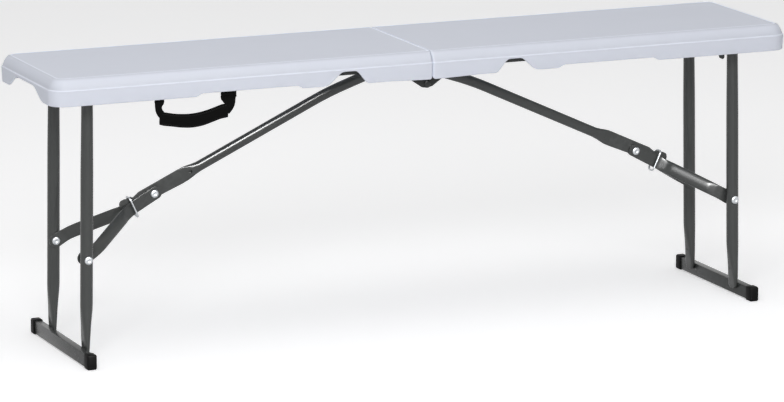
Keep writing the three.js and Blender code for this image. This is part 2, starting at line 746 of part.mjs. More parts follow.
function upperBrace(side) {
  const { tubeRise, flatHalf, flatLow, flatHigh, flatLength, flareLength, eyeRadius: eyeR } = brace;
  const flatMiddle = (flatHigh - flatLow) / 2;
  const flatHalfHeight = (flatHigh + flatLow) / 2;
  const bend = braceBend.clone().addScaledVector(upward, tubeRise);
  const along = (distance, rise, values) => {
    const at = onBrace(-distance, rise);
    return { x: at.x, z: at.y, tilt: slope, ...values };
  };
  const upperSlope = Math.atan2(bracePivot.y - bend.y, bend.x - bracePivot.x);
  const nearPivot = (distance, values) => ({
    x: bracePivot.x + Math.cos(upperSlope) * distance,
    z: bracePivot.y - Math.sin(upperSlope) * distance,
    tilt: upperSlope,
    ...values,
  });
  const tube = { halfHeight: brace.halfHeight, halfWidth: brace.halfWidth, square: 2.8 };
  const flat = { halfHeight: flatHalfHeight, halfWidth: flatHalf, square: 6 };
  const flared = { halfHeight: (flatHalfHeight + brace.halfHeight) / 2, halfWidth: brace.halfWidth * 0.66, square: 2.8 };
  const eye = (share) => ({ halfHeight: Math.sqrt(1 - share ** 2) * eyeR + gap, halfWidth: flatHalf, square: 6 });
  const stations = [
    along(flatLength, flatMiddle, flat),
    along(flatLength + eyeR, flatMiddle, { ...flat, halfWidth: flatHalf * 1.6, square: 4 }),
    along((flatLength + flareLength) / 2, (flatMiddle + tubeRise) / 2, flared),
    along(flareLength, tubeRise, tube),
    { ...tube, x: bend.x, z: bend.y, tilt: (slope + upperSlope) / 2 },
    nearPivot(eyeR * 5, tube),
    nearPivot(eyeR * 3.4, { ...eye(0), halfWidth: brace.halfWidth * 0.6, square: 3 }),
    nearPivot(eyeR * 2, eye(0)),
    ...[0, 0.5, 0.85, 1].map((share) => nearPivot(-share * eyeR, eye(share))),
  ];
  const flatEnd = [
    ...tongueShares.map(([out, up]) => [out * tongueLength, up * (up > 0 ? flatHigh : flatLow)]),
    [-flatLength - gap, -flatLow],
    [-flatLength - gap, flatHigh],
  ];
  const body = joined(
    loft(stations.map((station) => section(station, 16))),
    plate(flatEnd.map(([out, up]) => onBrace(out, up).toArray()), -flatHalf, flatHalf),
  );
  const hole = (at, radius, fromY = -leg.radius, toY = leg.radius) =>
    barAlongY(radius, fromY, toY, rivet.sides).translate(at.x, 0, at.y);
  const wall = side < 0 ? [-leg.radius, 0] : [0, leg.radius];
  return cut(
    body,
    hole(bracePivot, braceRod.radius + gap),
    hole(knee, rivet.radius + gap),
    hole(onBrace(-brace.holeIn, tubeRise), brace.holeRadius, ...wall),
  );
}

// Y arm to the leg at positive y, from the knee's rounded end to the rivet on the leg.
function yArm() {
  const toPin = legPin.clone().sub(knee);
  const length = toPin.length();
  const dir = toPin.clone().normalize();
  const tilt = Math.atan2(-dir.y, dir.x);
  const kneeY = armInner + arm.plate / 2;
  const legEndY = legInner - gap - arm.plate / 2;
  const bendAt = length - arm.legStraight;
  const spread = (legEndY - kneeY) / (bendAt - arm.straight);
  const lean = Math.atan(spread);
  const station = (u, values) => {
    const y = u < arm.straight ? kneeY : u > bendAt ? legEndY : kneeY + (u - arm.straight) * spread;
    return {
      x: knee.x + dir.x * u, z: knee.y + dir.y * u, y, tilt,
      halfHeight: arm.halfHeight, halfWidth: arm.plate / 2, square: 6, ...values,
    };
  };
  const round = (share) => ({ halfHeight: Math.sqrt(1 - share ** 2) * arm.legRound + gap });
  const tube = { halfHeight: arm.tubeHalfHeight, halfWidth: arm.tubeHalfWidth, square: 3.2 };
  const e = arm.endRound;
  const l = arm.legRound;
  const stations = [
    station(-e, { halfHeight: arm.halfHeight * 0.35 }),
    station(-e * 0.72, { halfHeight: arm.halfHeight * 0.8 }),
    station(-e * 0.3, {}),
    station(arm.straight, { lean: -lean / 2 }),
    station(arm.straight + e * 0.7, { halfWidth: arm.plate, square: 3.4, lean: -lean }),
    station(arm.straight + e * 1.7, { ...tube, lean: -lean }),
    station(bendAt - l * 1.6, { ...tube, lean: -lean }),
    station(bendAt - l * 0.6, { halfWidth: arm.plate, square: 3.4, lean: -lean }),
    station(bendAt, { lean: -lean / 2 }),
    ...[0, 0.5, 0.85, 1].map((share) => station(length + share * l, round(share))),
  ];
  const hole = (at) =>
    barAlongY(rivet.radius + gap, -overrun, legY, rivet.sides).translate(at.x, 0, at.y);
  return cut(loft(stations.map((s) => section(s, 16))), hole(knee), hole(legPin));
}

// Lock ring: a rectangular wire loop across the brace.
function lockRing() {
  const loops = [];
  const halfY = ring.innerHalfWidth + ring.wire;
  const halfN = ring.innerHalfHeight + ring.wire;
  const corners = [[1, 1, 0], [-1, 1, 1], [-1, -1, 2], [1, -1, 3]];
  for (const [sy, sn, from] of corners) {
    for (let i = 0; i <= ring.cornerSteps; i += 1) {
      const angle = (from + i / ring.cornerSteps) * (Math.PI / 2);
      const centre = new THREE.Vector2(
        sy * (halfY - ring.corner) + Math.cos(angle) * ring.corner,
        sn * (halfN - ring.corner) + Math.sin(angle) * ring.corner,
      );
      loops.push({ centre, angle });
    }
  }
  const points = [];
  for (const { centre, angle } of loops) {
    for (let i = 0; i < ring.sides; i += 1) {
      const turn = (i / ring.sides) * Math.PI * 2;
      const radial = Math.cos(turn) * ring.wire;
      points.push(
        new THREE.Vector3(
          Math.sin(turn) * ring.wire,
          centre.x + Math.cos(angle) * radial,
          centre.y + Math.sin(angle) * radial,
        ),
      );
    }
  }
  const index = [];
  for (let i = 0; i < loops.length; i += 1) {
    for (let j = 0; j < ring.sides; j += 1) {
      const a = i * ring.sides + j;
      const b = i * ring.sides + ((j + 1) % ring.sides);
      const c = ((i + 1) % loops.length) * ring.sides + j;
      const d = ((i + 1) % loops.length) * ring.sides + ((j + 1) % ring.sides);
      index.push(a, b, d, a, d, c);
    }
  }
  const geometry = new THREE.BufferGeometry().setFromPoints(points);
  geometry.setIndex(index);
  return geometry;
}

// Carrying handle. A strip is a loft along points in the x and z plane.

const handleY = -railOuter - gap - handle.strapThickness / 2;
const handleZ = bench.height - handle.pivotDrop;
const strapX = (across) => handle.fromEnd - bench.length / 2 + across * handle.span;

function strip(shares, thickness) {
  const points = shares.map(({ across, down }) => new THREE.Vector2(strapX(across), handleZ - down * handle.drop));
  const loops = shares.map(({ half }, i) => {
    const before = points[Math.max(i - 1, 0)];
    const after = points[Math.min(i + 1, points.length - 1)];
    return section(
      {
        x: points[i].x,
        y: handleY,
        z: points[i].y,
        tilt: Math.atan2(before.y - after.y, after.x - before.x),
        halfHeight: half * handle.webHalf,
        halfWidth: thickness / 2,
        square: 3.5,
      },
      12,
    );
  });
  return loft(loops);
}

// Each strap's top is round where it bends against its fixed end.
function strapTop({ across, half }) {
  const radius = handle.strapThickness / 2;
  const roll = new THREE.CylinderGeometry(radius, radius, half * handle.webHalf * 2, rivet.sides);
  return roll.rotateZ(Math.PI / 2).translate(strapX(across), handleY, handleZ);
}

const handleLoop = () =>
  joined(
    strip(outerStrapShares, handle.strapThickness),
    strip(innerStrapShares, handle.strapThickness),
    strapTop(outerStrapShares[0]),
    strapTop(innerStrapShares[0]),
    strip(sleeveShares, handle.sleeveThickness),
  );

// The strap's fixed end runs up beside the rail.
function handleAnchor({ across, half }) {
  const [x, y] = [half * handle.webHalf, handle.strapThickness / 2];
  const [fromZ, toZ] = [handleZ + y + gap, handleZ + handle.anchorRise];
  return box(strapX(across) - x, strapX(across) + x, handleY - y, handleY + y, fromZ, toZ);
}

// The assembly. Each moving body is a group, and a group holds the bodies that ride on it.

function mesh(name, geometry, material) {
  const flat = geometry.index ? geometry.toNonIndexed() : geometry;
  flat.computeVertexNormals();
  const piece = new THREE.Mesh(flat, material());
  piece.name = name;
  return piece;
}

function group(name, ...children) {
  const holder = new THREE.Group();
  holder.name = name;
  holder.add(...children);
  return holder;
}

const nearAndFar = [["near", -1], ["far", 1]];

function half(side) {
  const name = side < 0 ? "left" : "right";
  const one = (label, geometry, material, at = [0, 0]) => {
    const piece = mesh(name + "_" + label, mirrored(geometry, side, 1), material);
    piece.position.set(side * at[0], 0, at[1]);
    return piece;
  };
  const pair = (label, geometry, material, at) =>
    nearAndFar.map(([which, y]) => one(which + "_" + label, mirrored(geometry, 1, y), material, at));
  const pinAt = legPin.toArray();

  const arms = group(name + "_arms", ...pair("arm", yArm(), steel), ...pair("arm_rivet", armRivet(), zinc, pinAt));
  const lock = one("lock_ring", lockRing(), zinc, onBrace(ringSeatShare.out * tongueLength, ringUp).toArray());
  lock.rotation.y = side * slope;
  const upper = group(
    name + "_brace",
    one("upper_brace", upperBrace(side), steel),
    one("knee_rivet", kneeRivet(), zinc, knee.toArray()),
    lock,
    arms,
  );
  const legs = group(
    name + "_legs",
    one("leg_cross_tube", crossTubePiece(), steel, legPivot.toArray()),
    ...pair("leg", legTube(), steel),
    ...pair("leg_rivet", legRivet(), zinc, pinAt),
    one("foot_bar", footBarTube(), steel),
    ...pair("foot_cap", footCapPiece(), rubber, [footX, 0]),
  );
  const rod = barAlongY(braceRod.radius, -leafOuter, leafOuter, braceRod.sides);
  const screws = screwX.flatMap((x, i) => {
    const label = i ? "outer_rail_screw" : "inner_rail_screw";
    return pair(label, railScrewPiece().translate(0, railMiddle, 0), zinc, [x, 0]);
  });
  return group(
    name + "_half",
    one("seat_panel", seatPanel(), plastic),
    ...pair("rail", sideRail(), steel),
    ...screws,
    ...pair("hinge_leaf", hingeLeaf(side > 0), steel),
    ...nearAndFar.map(([which, y]) =>
      one(which + "_leg_bracket", mirrored(legBracket(side * y < 0), 1, y), steel),
    ),
    one("brace_rod", rod, steel, bracePivot.toArray()),
    upper,
    legs,
  );
}

const pins = nearAndFar.map(([which, y]) => {
  const pin = mesh(which + "_hinge_pin", mirrored(hingePin(), 1, y), steel);
  pin.position.z = hingeZ;
  return pin;
});

const folding = group("folding_bench", half(-1), group("hinge_pins", ...pins), half(1));
folding.add(
  mesh("outer_handle_anchor", handleAnchor(outerStrapShares[0]), webbing),
  mesh("inner_handle_anchor", handleAnchor(innerStrapShares[0]), webbing),
  mesh("handle_loop", handleLoop(), webbing),
);

// What the joints need, in millimetres and degrees, for the half at positive x.
const degrees = THREE.MathUtils.radToDeg;
const openArm = legPin.clone().sub(knee).angle();
const foldedArm = foldedLegPin.clone().sub(foldedKnee).angle();
folding.userData = {
  hingeZ,
  legPivot: legPivot.toArray(),
  bracePivot: bracePivot.toArray(),
  knee: knee.toArray(),
  foldedKnee: foldedKnee.toArray(),
  legPin: legPin.toArray(),
  foldedLegPin: foldedLegPin.toArray(),
  braceSlope: degrees(slope),
  legFold: degrees(legFold),
  kneeFold: degrees(openArm - foldedArm + slope),
  handlePivot: [handleY, handleZ],
  foldedFoot: foldedFoot.toArray(),
};

export default folding;
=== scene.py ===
import math

import bmesh
import bpy
from mathutils import Matrix, Vector


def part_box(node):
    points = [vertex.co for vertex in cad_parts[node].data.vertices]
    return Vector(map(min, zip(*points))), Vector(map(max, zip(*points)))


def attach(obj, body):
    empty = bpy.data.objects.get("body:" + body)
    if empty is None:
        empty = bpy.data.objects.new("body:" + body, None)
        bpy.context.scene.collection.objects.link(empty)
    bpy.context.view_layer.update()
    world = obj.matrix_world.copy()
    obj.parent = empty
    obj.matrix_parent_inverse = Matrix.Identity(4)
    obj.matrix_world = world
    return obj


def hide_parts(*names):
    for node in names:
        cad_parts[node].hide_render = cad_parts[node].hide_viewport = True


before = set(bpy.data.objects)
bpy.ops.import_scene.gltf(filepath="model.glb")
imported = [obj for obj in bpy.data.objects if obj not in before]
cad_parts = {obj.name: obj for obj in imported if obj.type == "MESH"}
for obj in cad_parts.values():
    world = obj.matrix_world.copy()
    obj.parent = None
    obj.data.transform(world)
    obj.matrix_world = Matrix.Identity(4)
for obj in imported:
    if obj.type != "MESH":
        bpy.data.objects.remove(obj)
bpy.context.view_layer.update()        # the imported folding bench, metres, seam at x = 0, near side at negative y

scene = bpy.context.scene
mm = 0.001

# Camera at the photograph's angle, for a frame of 784 by 402.
shot = {"place": (-2.754, -6.3276, 1.6715), "down": 12.16, "turn": -23.42, "lens": 208.9, "sensor": 36.0}


def placeCamera():
    data = bpy.data.cameras.new("camera")
    data.lens = shot["lens"]
    data.sensor_width = shot["sensor"]
    data.clip_end = 60.0
    camera = bpy.data.objects.new("camera", data)
    camera.location = shot["place"]
    camera.rotation_euler = (math.radians(90 - shot["down"]), 0, math.radians(shot["turn"]))
    scene.collection.objects.link(camera)
    scene.camera = camera


placeCamera()
print("camera placed")


# Node helpers, and the shader groups that several finishes share.

def fill(tree, node, inputs):
    # Each input is linked to the socket it is given, or set to the value.
    for label, value in inputs.items():
        if isinstance(value, bpy.types.NodeSocket):
            tree.links.new(value, node.inputs[label])
        else:
            node.inputs[label].default_value = value
    return node


def addNode(tree, kind, inputs):
    return fill(tree, tree.nodes.new(kind), inputs)


def mathNode(tree, operation, *values, clamp=False):
    node = tree.nodes.new("ShaderNodeMath")
    node.operation = operation
    node.use_clamp = clamp
    return fill(tree, node, dict(enumerate(values))).outputs[0]


def noiseNode(tree, vector, scale, detail, roughness=0.5):
    inputs = {"Vector": vector, "Scale": scale, "Detail": detail, "Roughness": roughness}
    return addNode(tree, "ShaderNodeTexNoise", inputs).outputs["Fac"]


def mapRange(tree, value, fromMin, fromMax, toMin=0.0, toMax=1.0):
    inputs = {"Value": value, "From Min": fromMin, "From Max": fromMax, "To Min": toMin, "To Max": toMax}
    return addNode(tree, "ShaderNodeMapRange", inputs).outputs["Result"]


def mixed(tree, share, first, second):
    # Two colours, by the second one's share.
    node = tree.nodes.new("ShaderNodeMix")
    node.data_type = "RGBA"
    return fill(tree, node, {"Factor": share, 6: first, 7: second}).outputs[2]


def shaded(tree, level, tone):
    # A colour made lighter by a level over 1 and darker by one under it.
    return addNode(tree, "ShaderNodeHueSaturation", {"Value": level, "Color": tone}).outputs["Color"]


def newGroup(name, inputs, outputs):
    # Every group takes a vector first, then its inputs as (name, kind, value).
    tree = bpy.data.node_groups.new(name, "ShaderNodeTree")
    for label, kind, value in [("Vector", "Vector", None)] + inputs:
        socket = tree.interface.new_socket(name=label, in_out="INPUT", socket_type="NodeSocket" + kind)
        if value is not None:
            socket.default_value = value
    for label, kind in outputs:
        tree.interface.new_socket(name=label, in_out="OUTPUT", socket_type="NodeSocket" + kind)
    return tree, tree.nodes.new("NodeGroupInput").outputs, tree.nodes.new("NodeGroupOutput")


def buildGrain():
    tree, start, end = newGroup("fine grain", [("Scale", "Float", 900.0), ("Swell", "Float", 0.3)],
                                [("Height", "Float")])
    swellScale = 0.03    # of the fine grain's scale
    fine = noiseNode(tree, start["Vector"], start["Scale"], 3.0, 0.6)
    broad = noiseNode(tree, start["Vector"], mathNode(tree, "MULTIPLY", start["Scale"], swellScale), 1.0)
    swell = mathNode(tree, "MULTIPLY", broad, start["Swell"])
    fill(tree, end, {"Height": mathNode(tree, "ADD", fine, swell)})
    return tree


# Painted highlight: a lighter colour on sharp edges, broken into patches, where edges would catch the light.
def buildEdgeHighlight():
    tree, start, end = newGroup("painted edge highlight", [("Amount", "Float", 0.4), ("Scale", "Float", 60.0)],
                                [("Mask", "Float")])
    edge, patch = (0.53, 0.64), (0.38, 0.62)    # where the painted edge highlight begins and where it is whole
    sharp = mapRange(tree, addNode(tree, "ShaderNodeNewGeometry", {}).outputs["Pointiness"], *edge)
    broken = mapRange(tree, noiseNode(tree, start["Vector"], start["Scale"], 4.0), *patch)
    mask = mathNode(tree, "MULTIPLY", sharp, broken)
    fill(tree, end, {"Mask": mathNode(tree, "MULTIPLY", mask, start["Amount"], clamp=True)})
    return tree


def buildDrift():
    inputs = [("Colour", "Color", (1, 1, 1, 1)), ("Shift", "Float", 0.05), ("Scale", "Float", 6.0)]
    tree, start, end = newGroup("colour drift", inputs, [("Colour", "Color")])
    cloud = noiseNode(tree, start["Vector"], start["Scale"], 3.0)
    centred = mathNode(tree, "SUBTRACT", cloud, 0.5)
    level = mathNode(tree, "MULTIPLY_ADD", centred, start["Shift"], 1.0)
    fill(tree, end, {"Colour": shaded(tree, level, start["Colour"])})
    return tree


def buildWeave():
    # The vector is in millimetres on the cloth: x across it, y along it.
    tree, start, end = newGroup("webbing weave", [("Rib", "Float", 1.1), ("Pick", "Float", 1.5)],
                                [("Height", "Float"), ("Mask", "Float")])
    split = addNode(tree, "ShaderNodeSeparateXYZ", {"Vector": start["Vector"]}).outputs

    def wave(turns):
        return mathNode(tree, "SINE", mathNode(tree, "MULTIPLY", turns, math.tau))

    ribTurns = mathNode(tree, "DIVIDE", split["X"], start["Rib"])
    halfPick = mathNode(tree, "MULTIPLY", mathNode(tree, "FLOOR", ribTurns), 0.5)
    pickTurns = mathNode(tree, "ADD", mathNode(tree, "DIVIDE", split["Y"], start["Pick"]), halfPick)
    ribs = mathNode(tree, "ABSOLUTE", wave(ribTurns))
    picks = mathNode(tree, "MULTIPLY", ribs, wave(pickTurns))
    fill(tree, end, {"Height": mathNode(tree, "MULTIPLY_ADD", picks, 0.5, 0.5), "Mask": ribs})
    return tree


grainGroup = buildGrain()
edgeHighlightGroup = buildEdgeHighlight()
driftGroup = buildDrift()
weaveGroup = buildWeave()


def placeGroup(tree, group, vector, values):
    node = tree.nodes.new("ShaderNodeGroup")
    node.node_tree = group
    return fill(tree, node, {"Vector": vector, **values}).outputs


def newMaterial(name):
    material = bpy.data.materials.new(name)
    material.use_nodes = True
    tree = material.node_tree
    return material, tree, tree.nodes["Principled BSDF"]


def colour(red, green, blue):
    # Screen values from 0 to 255 to the renderer's linear colour.
    linear = [((c / 255 + 0.055) / 1.055) ** 2.4 if c > 10 else c / 255 / 12.92 for c in (red, green, blue)]
    return (*linear, 1.0)


def bumped(tree, look, height):
    inputs = {"Height": height, "Strength": look["bump"], "Distance": look["bumpDepth"] * mm}
    return addNode(tree, "ShaderNodeBump", inputs).outputs["Normal"]


def grainedFinish(name, look, paintedLight=None):
    # paintedLight is the name of a point value of painted highlight and shade: it lightens the colour above zero
    # and darkens it below.
    material, tree, shader = newMaterial(name)
    place = addNode(tree, "ShaderNodeTexCoord", {}).outputs["Object"]
    drift = placeGroup(tree, driftGroup, place,
                       {"Colour": look["colour"], "Shift": look["drift"], "Scale": look["driftScale"]})
    edgeHighlight = placeGroup(tree, edgeHighlightGroup, place, {"Amount": look["edgeHighlight"], "Scale": look["edgeHighlightScale"]})
    grain = placeGroup(tree, grainGroup, place, {"Scale": look["grainScale"], "Swell": look["swell"]})
    # Sharp edges take the lighter edge colour: a painted highlight.
    base = mixed(tree, edgeHighlight["Mask"], drift["Colour"], look["edgeHighlightColour"])
    if paintedLight:
        mark = tree.nodes.new("ShaderNodeAttribute")
        mark.attribute_name = paintedLight
        base = shaded(tree, mathNode(tree, "ADD", mark.outputs["Fac"], 1.0), base)
    middle, spread = look["roughness"], look["roughnessSpread"]
    dull = mapRange(tree, grain["Height"], 0.3, 0.9, middle - spread, middle + spread)
    fill(tree, shader, {"Base Color": base, "Roughness": dull, "Normal": bumped(tree, look, grain["Height"]),
                        "Metallic": look["metallic"], "Specular IOR Level": look["specular"]})
    return material


def clothFinish(name, look):
    material, tree, shader = newMaterial(name)
    cloth = tree.nodes.new("ShaderNodeUVMap")
    cloth.uv_map = "cloth"
    weave = placeGroup(tree, weaveGroup, cloth.outputs["UV"], {"Rib": look["ribWidth"], "Pick": look["pick"]})
    fill(tree, shader, {"Base Color": mixed(tree, weave["Mask"], look["valley"], look["rib"]),
                        "Normal": bumped(tree, look, weave["Height"]), "Roughness": look["roughness"],
                        "Sheen Weight": look["sheen"], "Specular IOR Level": look["specular"]})
    return material


# In each look the edge colour is lighter than the body colour: it paints a highlight on sharp edges.
panelLook = {
    "colour": colour(223, 227, 238), "edgeHighlightColour": colour(238, 241, 247), "drift": 0.03, "driftScale": 5.0,
    "edgeHighlight": 0.35, "edgeHighlightScale": 40.0, "grainScale": 1500.0, "swell": 0.5, "roughness": 0.5,
    "roughnessSpread": 0.06, "bump": 0.25, "bumpDepth": 0.12, "metallic": 0.0, "specular": 0.14,
}
steelLook = {
    "colour": colour(67, 69, 68), "edgeHighlightColour": colour(92, 94, 93), "drift": 0.1, "driftScale": 14.0,
    "edgeHighlight": 0.25, "edgeHighlightScale": 90.0, "grainScale": 1300.0, "swell": 0.8, "roughness": 0.24,
    "roughnessSpread": 0.03, "bump": 0.1, "bumpDepth": 0.1, "metallic": 0.0, "specular": 0.34,
}
zincLook = {
    "colour": colour(184, 187, 190), "edgeHighlightColour": colour(216, 218, 220), "drift": 0.14, "driftScale": 150.0,
    "edgeHighlight": 0.6, "edgeHighlightScale": 200.0, "grainScale": 2500.0, "swell": 1.2, "roughness": 0.27,
    "roughnessSpread": 0.08, "bump": 0.2, "bumpDepth": 0.05, "metallic": 1.0, "specular": 0.5,
}
capLook = {
    "colour": colour(13, 13, 13), "edgeHighlightColour": colour(30, 30, 30), "drift": 0.2, "driftScale": 40.0,
    "edgeHighlight": 0.5, "edgeHighlightScale": 120.0, "grainScale": 1800.0, "swell": 0.4, "roughness": 0.5,
    "roughnessSpread": 0.06, "bump": 0.4, "bumpDepth": 0.12, "metallic": 0.0, "specular": 0.08,
}
# The panel's point values paint highlight on its raised lines and shade in its hollows.
panelPlastic = grainedFinish("moulded panel plastic", panelLook, "rim painted light")
powderCoat = grainedFinish("grey powder coat", steelLook)
# A darker copy of the grey powder coat, painted shade: for the steel under the seat, the hinge pins and the foot
# bars.
shadedCoat = grainedFinish("powder coat darkened for shade", dict(steelLook, colour=colour(50, 52, 51), specular=0.24))
zincPlate = grainedFinish("zinc plate", zincLook)
capPlastic = grainedFinish("black foot cap", capLook)

clothLook = {
    "valley": colour(4, 4, 4), "rib": colour(15, 15, 15), "roughness": 0.9, "ribWidth": 1.1, "pick": 1.5,
    "bump": 0.7, "bumpDepth": 0.3, "sheen": 0.02, "specular": 0.04,
}
webbing = clothFinish("handle webbing", clothLook)
threadLook = dict(capLook, colour=colour(34, 34, 35), roughness=0.7, grainScale=3000.0, edgeHighlight=0.0)
thread = grainedFinish("stitching thread", threadLook)
print("finishes made")


# Mesh helpers. Shapes are drawn in millimetres for the half at positive x and mirrored.

def newPiece(name, bm, material, sharpAngle=35):
    bmesh.ops.recalc_face_normals(bm, faces=bm.faces)
    mesh = bpy.data.meshes.new(name)
    bm.to_mesh(mesh)
    bm.free()
    mesh.materials.append(material)
    mesh.shade_smooth()
    mesh.set_sharp_from_angle(angle=math.radians(sharpAngle))
    piece = bpy.data.objects.new(name, mesh)
    scene.collection.objects.link(piece)
    return piece


def sized(bm, x=1, y=1):
    # From millimetres to metres, mirrored where asked.
    bmesh.ops.scale(bm, vec=(x * mm, y * mm, mm), verts=bm.verts)
    return bm


def seat(piece, body, slot, *nodes):
    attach(piece, body)
    if nodes:
        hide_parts(*nodes)


def skin(bm, loops, closed=False):
    # Faces between neighbouring loops, and a face over each open end.
    rows = [[bm.verts.new(point) for point in loop] for loop in loops]
    count = len(rows[0])
    pairs = list(zip(rows, rows[1:]))
    if closed:
        pairs.append((rows[-1], rows[0]))
    for low, high in pairs:
        for i in range(count):
            j = (i + 1) % count
            bm.faces.new((low[i], low[j], high[j], high[i]))
    if not closed:
        bm.faces.new(list(reversed(rows[0])))
        bm.faces.new(rows[-1])
    return rows


def lineAt(table, at, ease=False):
    # Read a table of (place, value, ...) rows: straight between rows, or level at each row with ease.
    if at <= table[0][0]:
        return table[0][1:]
    for before, after in zip(table, table[1:]):
        if at <= after[0]:
            share = (at - before[0]) / (after[0] - before[0])
            if ease:
                share = share * share * (3 - 2 * share)
            return [a + (b - a) * share for a, b in zip(before[1:], after[1:])]
    return table[-1][1:]


def softLine(table, at, blur):
    # Straight, with each corner rounded over the blur's length.
    steps = 8
    reads = [lineAt(table, at + blur * (2 * k / steps - 1)) for k in range(steps + 1)]
    return [sum(column) / len(reads) for column in zip(*reads)]


def roundEnd(past, radius, least):
    # The share of its size that a piece keeps this far past the middle of its round end.
    return math.sqrt(max(least, 1 - (past / radius) ** 2)) if past > 0 else 1


def spaced(start, end, step):
    count = max(1, round(abs(end - start) / step))
    return [start + (end - start) * i / count for i in range(count + 1)]


def circle(count, radius=1):
    turns = [i / count * math.tau for i in range(count)]
    return [(math.cos(turn) * radius, math.sin(turn) * radius) for turn in turns]


def oval(count, square, halfWidth, halfHeight):
    # An oval whose corners fill out as square rises from 2.
    ring = []
    for i in range(count):
        angle = (i + 0.5) / count * math.tau
        c, s = [math.copysign(abs(v) ** (2 / square), v) for v in (math.cos(angle), math.sin(angle))]
        ring.append((c * halfWidth, s * halfHeight))
    return ring


def tubeAlong(bm, places, centreAt, sizeAt, sides=36):
    # A tube whose section is an oval: half height in the x and z plane, half width across.
    loops = []
    for at in places:
        centre = centreAt(at)
        way = (centreAt(at + 0.5) - centreAt(at - 0.5)).normalized()
        high = Vector((-way.z, 0, way.x)).normalized()
        if high.z < 0 or (abs(high.z) < 0.1 and high.x < 0):
            high.negate()
        across = way.cross(high)
        halfHeight, halfWidth, square = sizeAt(at)
        ring = oval(sides, square, halfWidth, halfHeight)
        loops.append([centre + across * a + high * b for a, b in ring])
    skin(bm, loops)


def plateAlongY(bm, outline, fromY, toY):
    skin(bm, [[Vector((x, y, z)) for x, z in outline] for y in (fromY, toY)])


def barAlongY(bm, radius, fromY, toY, x, z):
    plateAlongY(bm, [(x + a, z + b) for a, b in circle(32, radius)], fromY, toY)


def barAlongX(bm, radius, fromX, toX, y, z, count):
    return skin(bm, [[Vector((x, y + a, z + b)) for a, b in circle(count, radius)] for x in (fromX, toX)])


def softenEdges(bm, width, segments=2, angle=30):
    edges = [e for e in bm.edges if len(e.link_faces) == 2 and e.calc_face_angle(0) > math.radians(angle)]
    bmesh.ops.bevel(bm, geom=edges, offset=width, segments=segments, profile=0.5, affect="EDGES",
                    clamp_overlap=True)


def carved(piece, cutter):
    # Cut the cutter's mesh out of the piece, and leave plain meshes behind.
    modifier = piece.modifiers.new("carve", "BOOLEAN")
    modifier.operation = "DIFFERENCE"
    modifier.solver = "EXACT"
    modifier.object = cutter
    graph = bpy.context.evaluated_depsgraph_get()
    mesh = bpy.data.meshes.new_from_object(piece.evaluated_get(graph))
    piece.modifiers.remove(modifier)
    old = piece.data
    piece.data = mesh
    bpy.data.meshes.remove(old)
    bpy.data.objects.remove(cutter)
    mesh.set_sharp_from_angle(angle=math.radians(35))


def softCopy(node, name, material, edge, segments=2):
    # A CAD piece with its edges rounded as a press or a bender leaves them.
    bm = bmesh.new()
    bm.from_mesh(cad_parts[node].data)
    bmesh.ops.remove_doubles(bm, verts=bm.verts, dist=1e-6)
    bmesh.ops.dissolve_limit(bm, angle_limit=math.radians(1), verts=bm.verts, edges=bm.edges)
    softenEdges(bm, edge * mm, segments)
    return newPiece(name, bm, material)


def cutSteel(name, bm, cut, body, node, x=1, y=1):
    # A steel piece with the cutter's holes in it.
    piece = newPiece(name, sized(bm, x, y), powderCoat)
    carved(piece, newPiece(name + " cutter", sized(cut, x, y), powderCoat))
    seat(piece, body, "painted_steel", node)


sides = {"left": -1, "right": 1}
rows = {"near": -1, "far": 1}
quarter = math.pi / 2

# Overall sizes, as in the part's own source.
bench = {"halfLength": 610, "halfWidth": 127.5, "top": 441, "skirt": 400, "ceiling": 424.5}
pivots = {
    "leg": (537.6, 407.2), "pin": (542.1126, 156.4992), "brace": (16.0, 401.0), "hinge": (0.0, 388.5),
    "knee": (406.5017, 231.2766), "slope": math.radians(24.8318),
}


# Seat panels: one skin lofted round the edge, from the field down over the skirt and up inside.
panelShape = {
    "seamGap": 0.3, "seamCorner": 4, "seamRound": 3.6, "seamHighlight": 0.06, "seamHighlightSpan": (0.8, 3.2),
    "cornerRadius": 26, "wall": 4, "lip": 1.25, "lipShare": 0.45, "skirtTop": 19, "footInset": 1.02,
    "innerFillet": 1.2, "archBlur": 3.2, "notchBlur": 7,
}
# Where the columns round the edge start, how far apart they are, and the steps in each round.
panelSteps = {"start": 18, "long": 4, "end": 3, "seam": 0.1, "corner": 14, "seamCorner": 8, "round": 4}
# Inset, drop, inset at the seam and painted light, from the field over the raised line to the ridge: painted
# highlight above zero, painted shade below.
rimRows = [
    (22.0, 0.8, 3.8, 0), (18.0, 0.8, 2.7, -0.01), (16.8, 0.8, 2.3, 0), (15.9, 0.8, 2.0, 0.12),
    (15.0, 0.76, 1.8, 0.24), (14.3, 0.55, 1.55, 0.32), (13.7, 0.14, 1.35, 0.34), (13.2, 0.0, 1.15, 0.3),
    (12.7, 0.12, 0.95, 0.14), (12.2, 0.5, 0.75, -0.03), (11.6, 0.92, 0.6, -0.08), (11.0, 1.2, 0.47, -0.08),
    (10.3, 1.5, 0.35, -0.06), (9.5, 1.95, 0.25, -0.04), (8.6, 2.7, 0.2, -0.02), (7.7, 3.7, 0.15, -0.01),
    (6.8, 5.0, 0.1, -0.01), (5.8, 6.6, 0.05, -0.02), (4.7, 8.4, 0.02, -0.03), (3.75, 10.3, 0.01, -0.05),
    (3.0, 12.2, 0, -0.07), (2.45, 13.8, 0, -0.09), (2.1, 15.0, 0, -0.1), (1.8, 15.8, 0, -0.06),
    (1.4, 16.25, 0, 0.03), (0.9, 16.5, 0, 0.12), (0.45, 16.7, 0, 0.15), (0.12, 17.0, 0, 0.14),
    (0.0, 17.5, 0, 0.07), (0.02, 18.1, 0, 0), (0.03, 18.7, 0, -0.02), (0.0, 19.2, 0, -0.02),
]
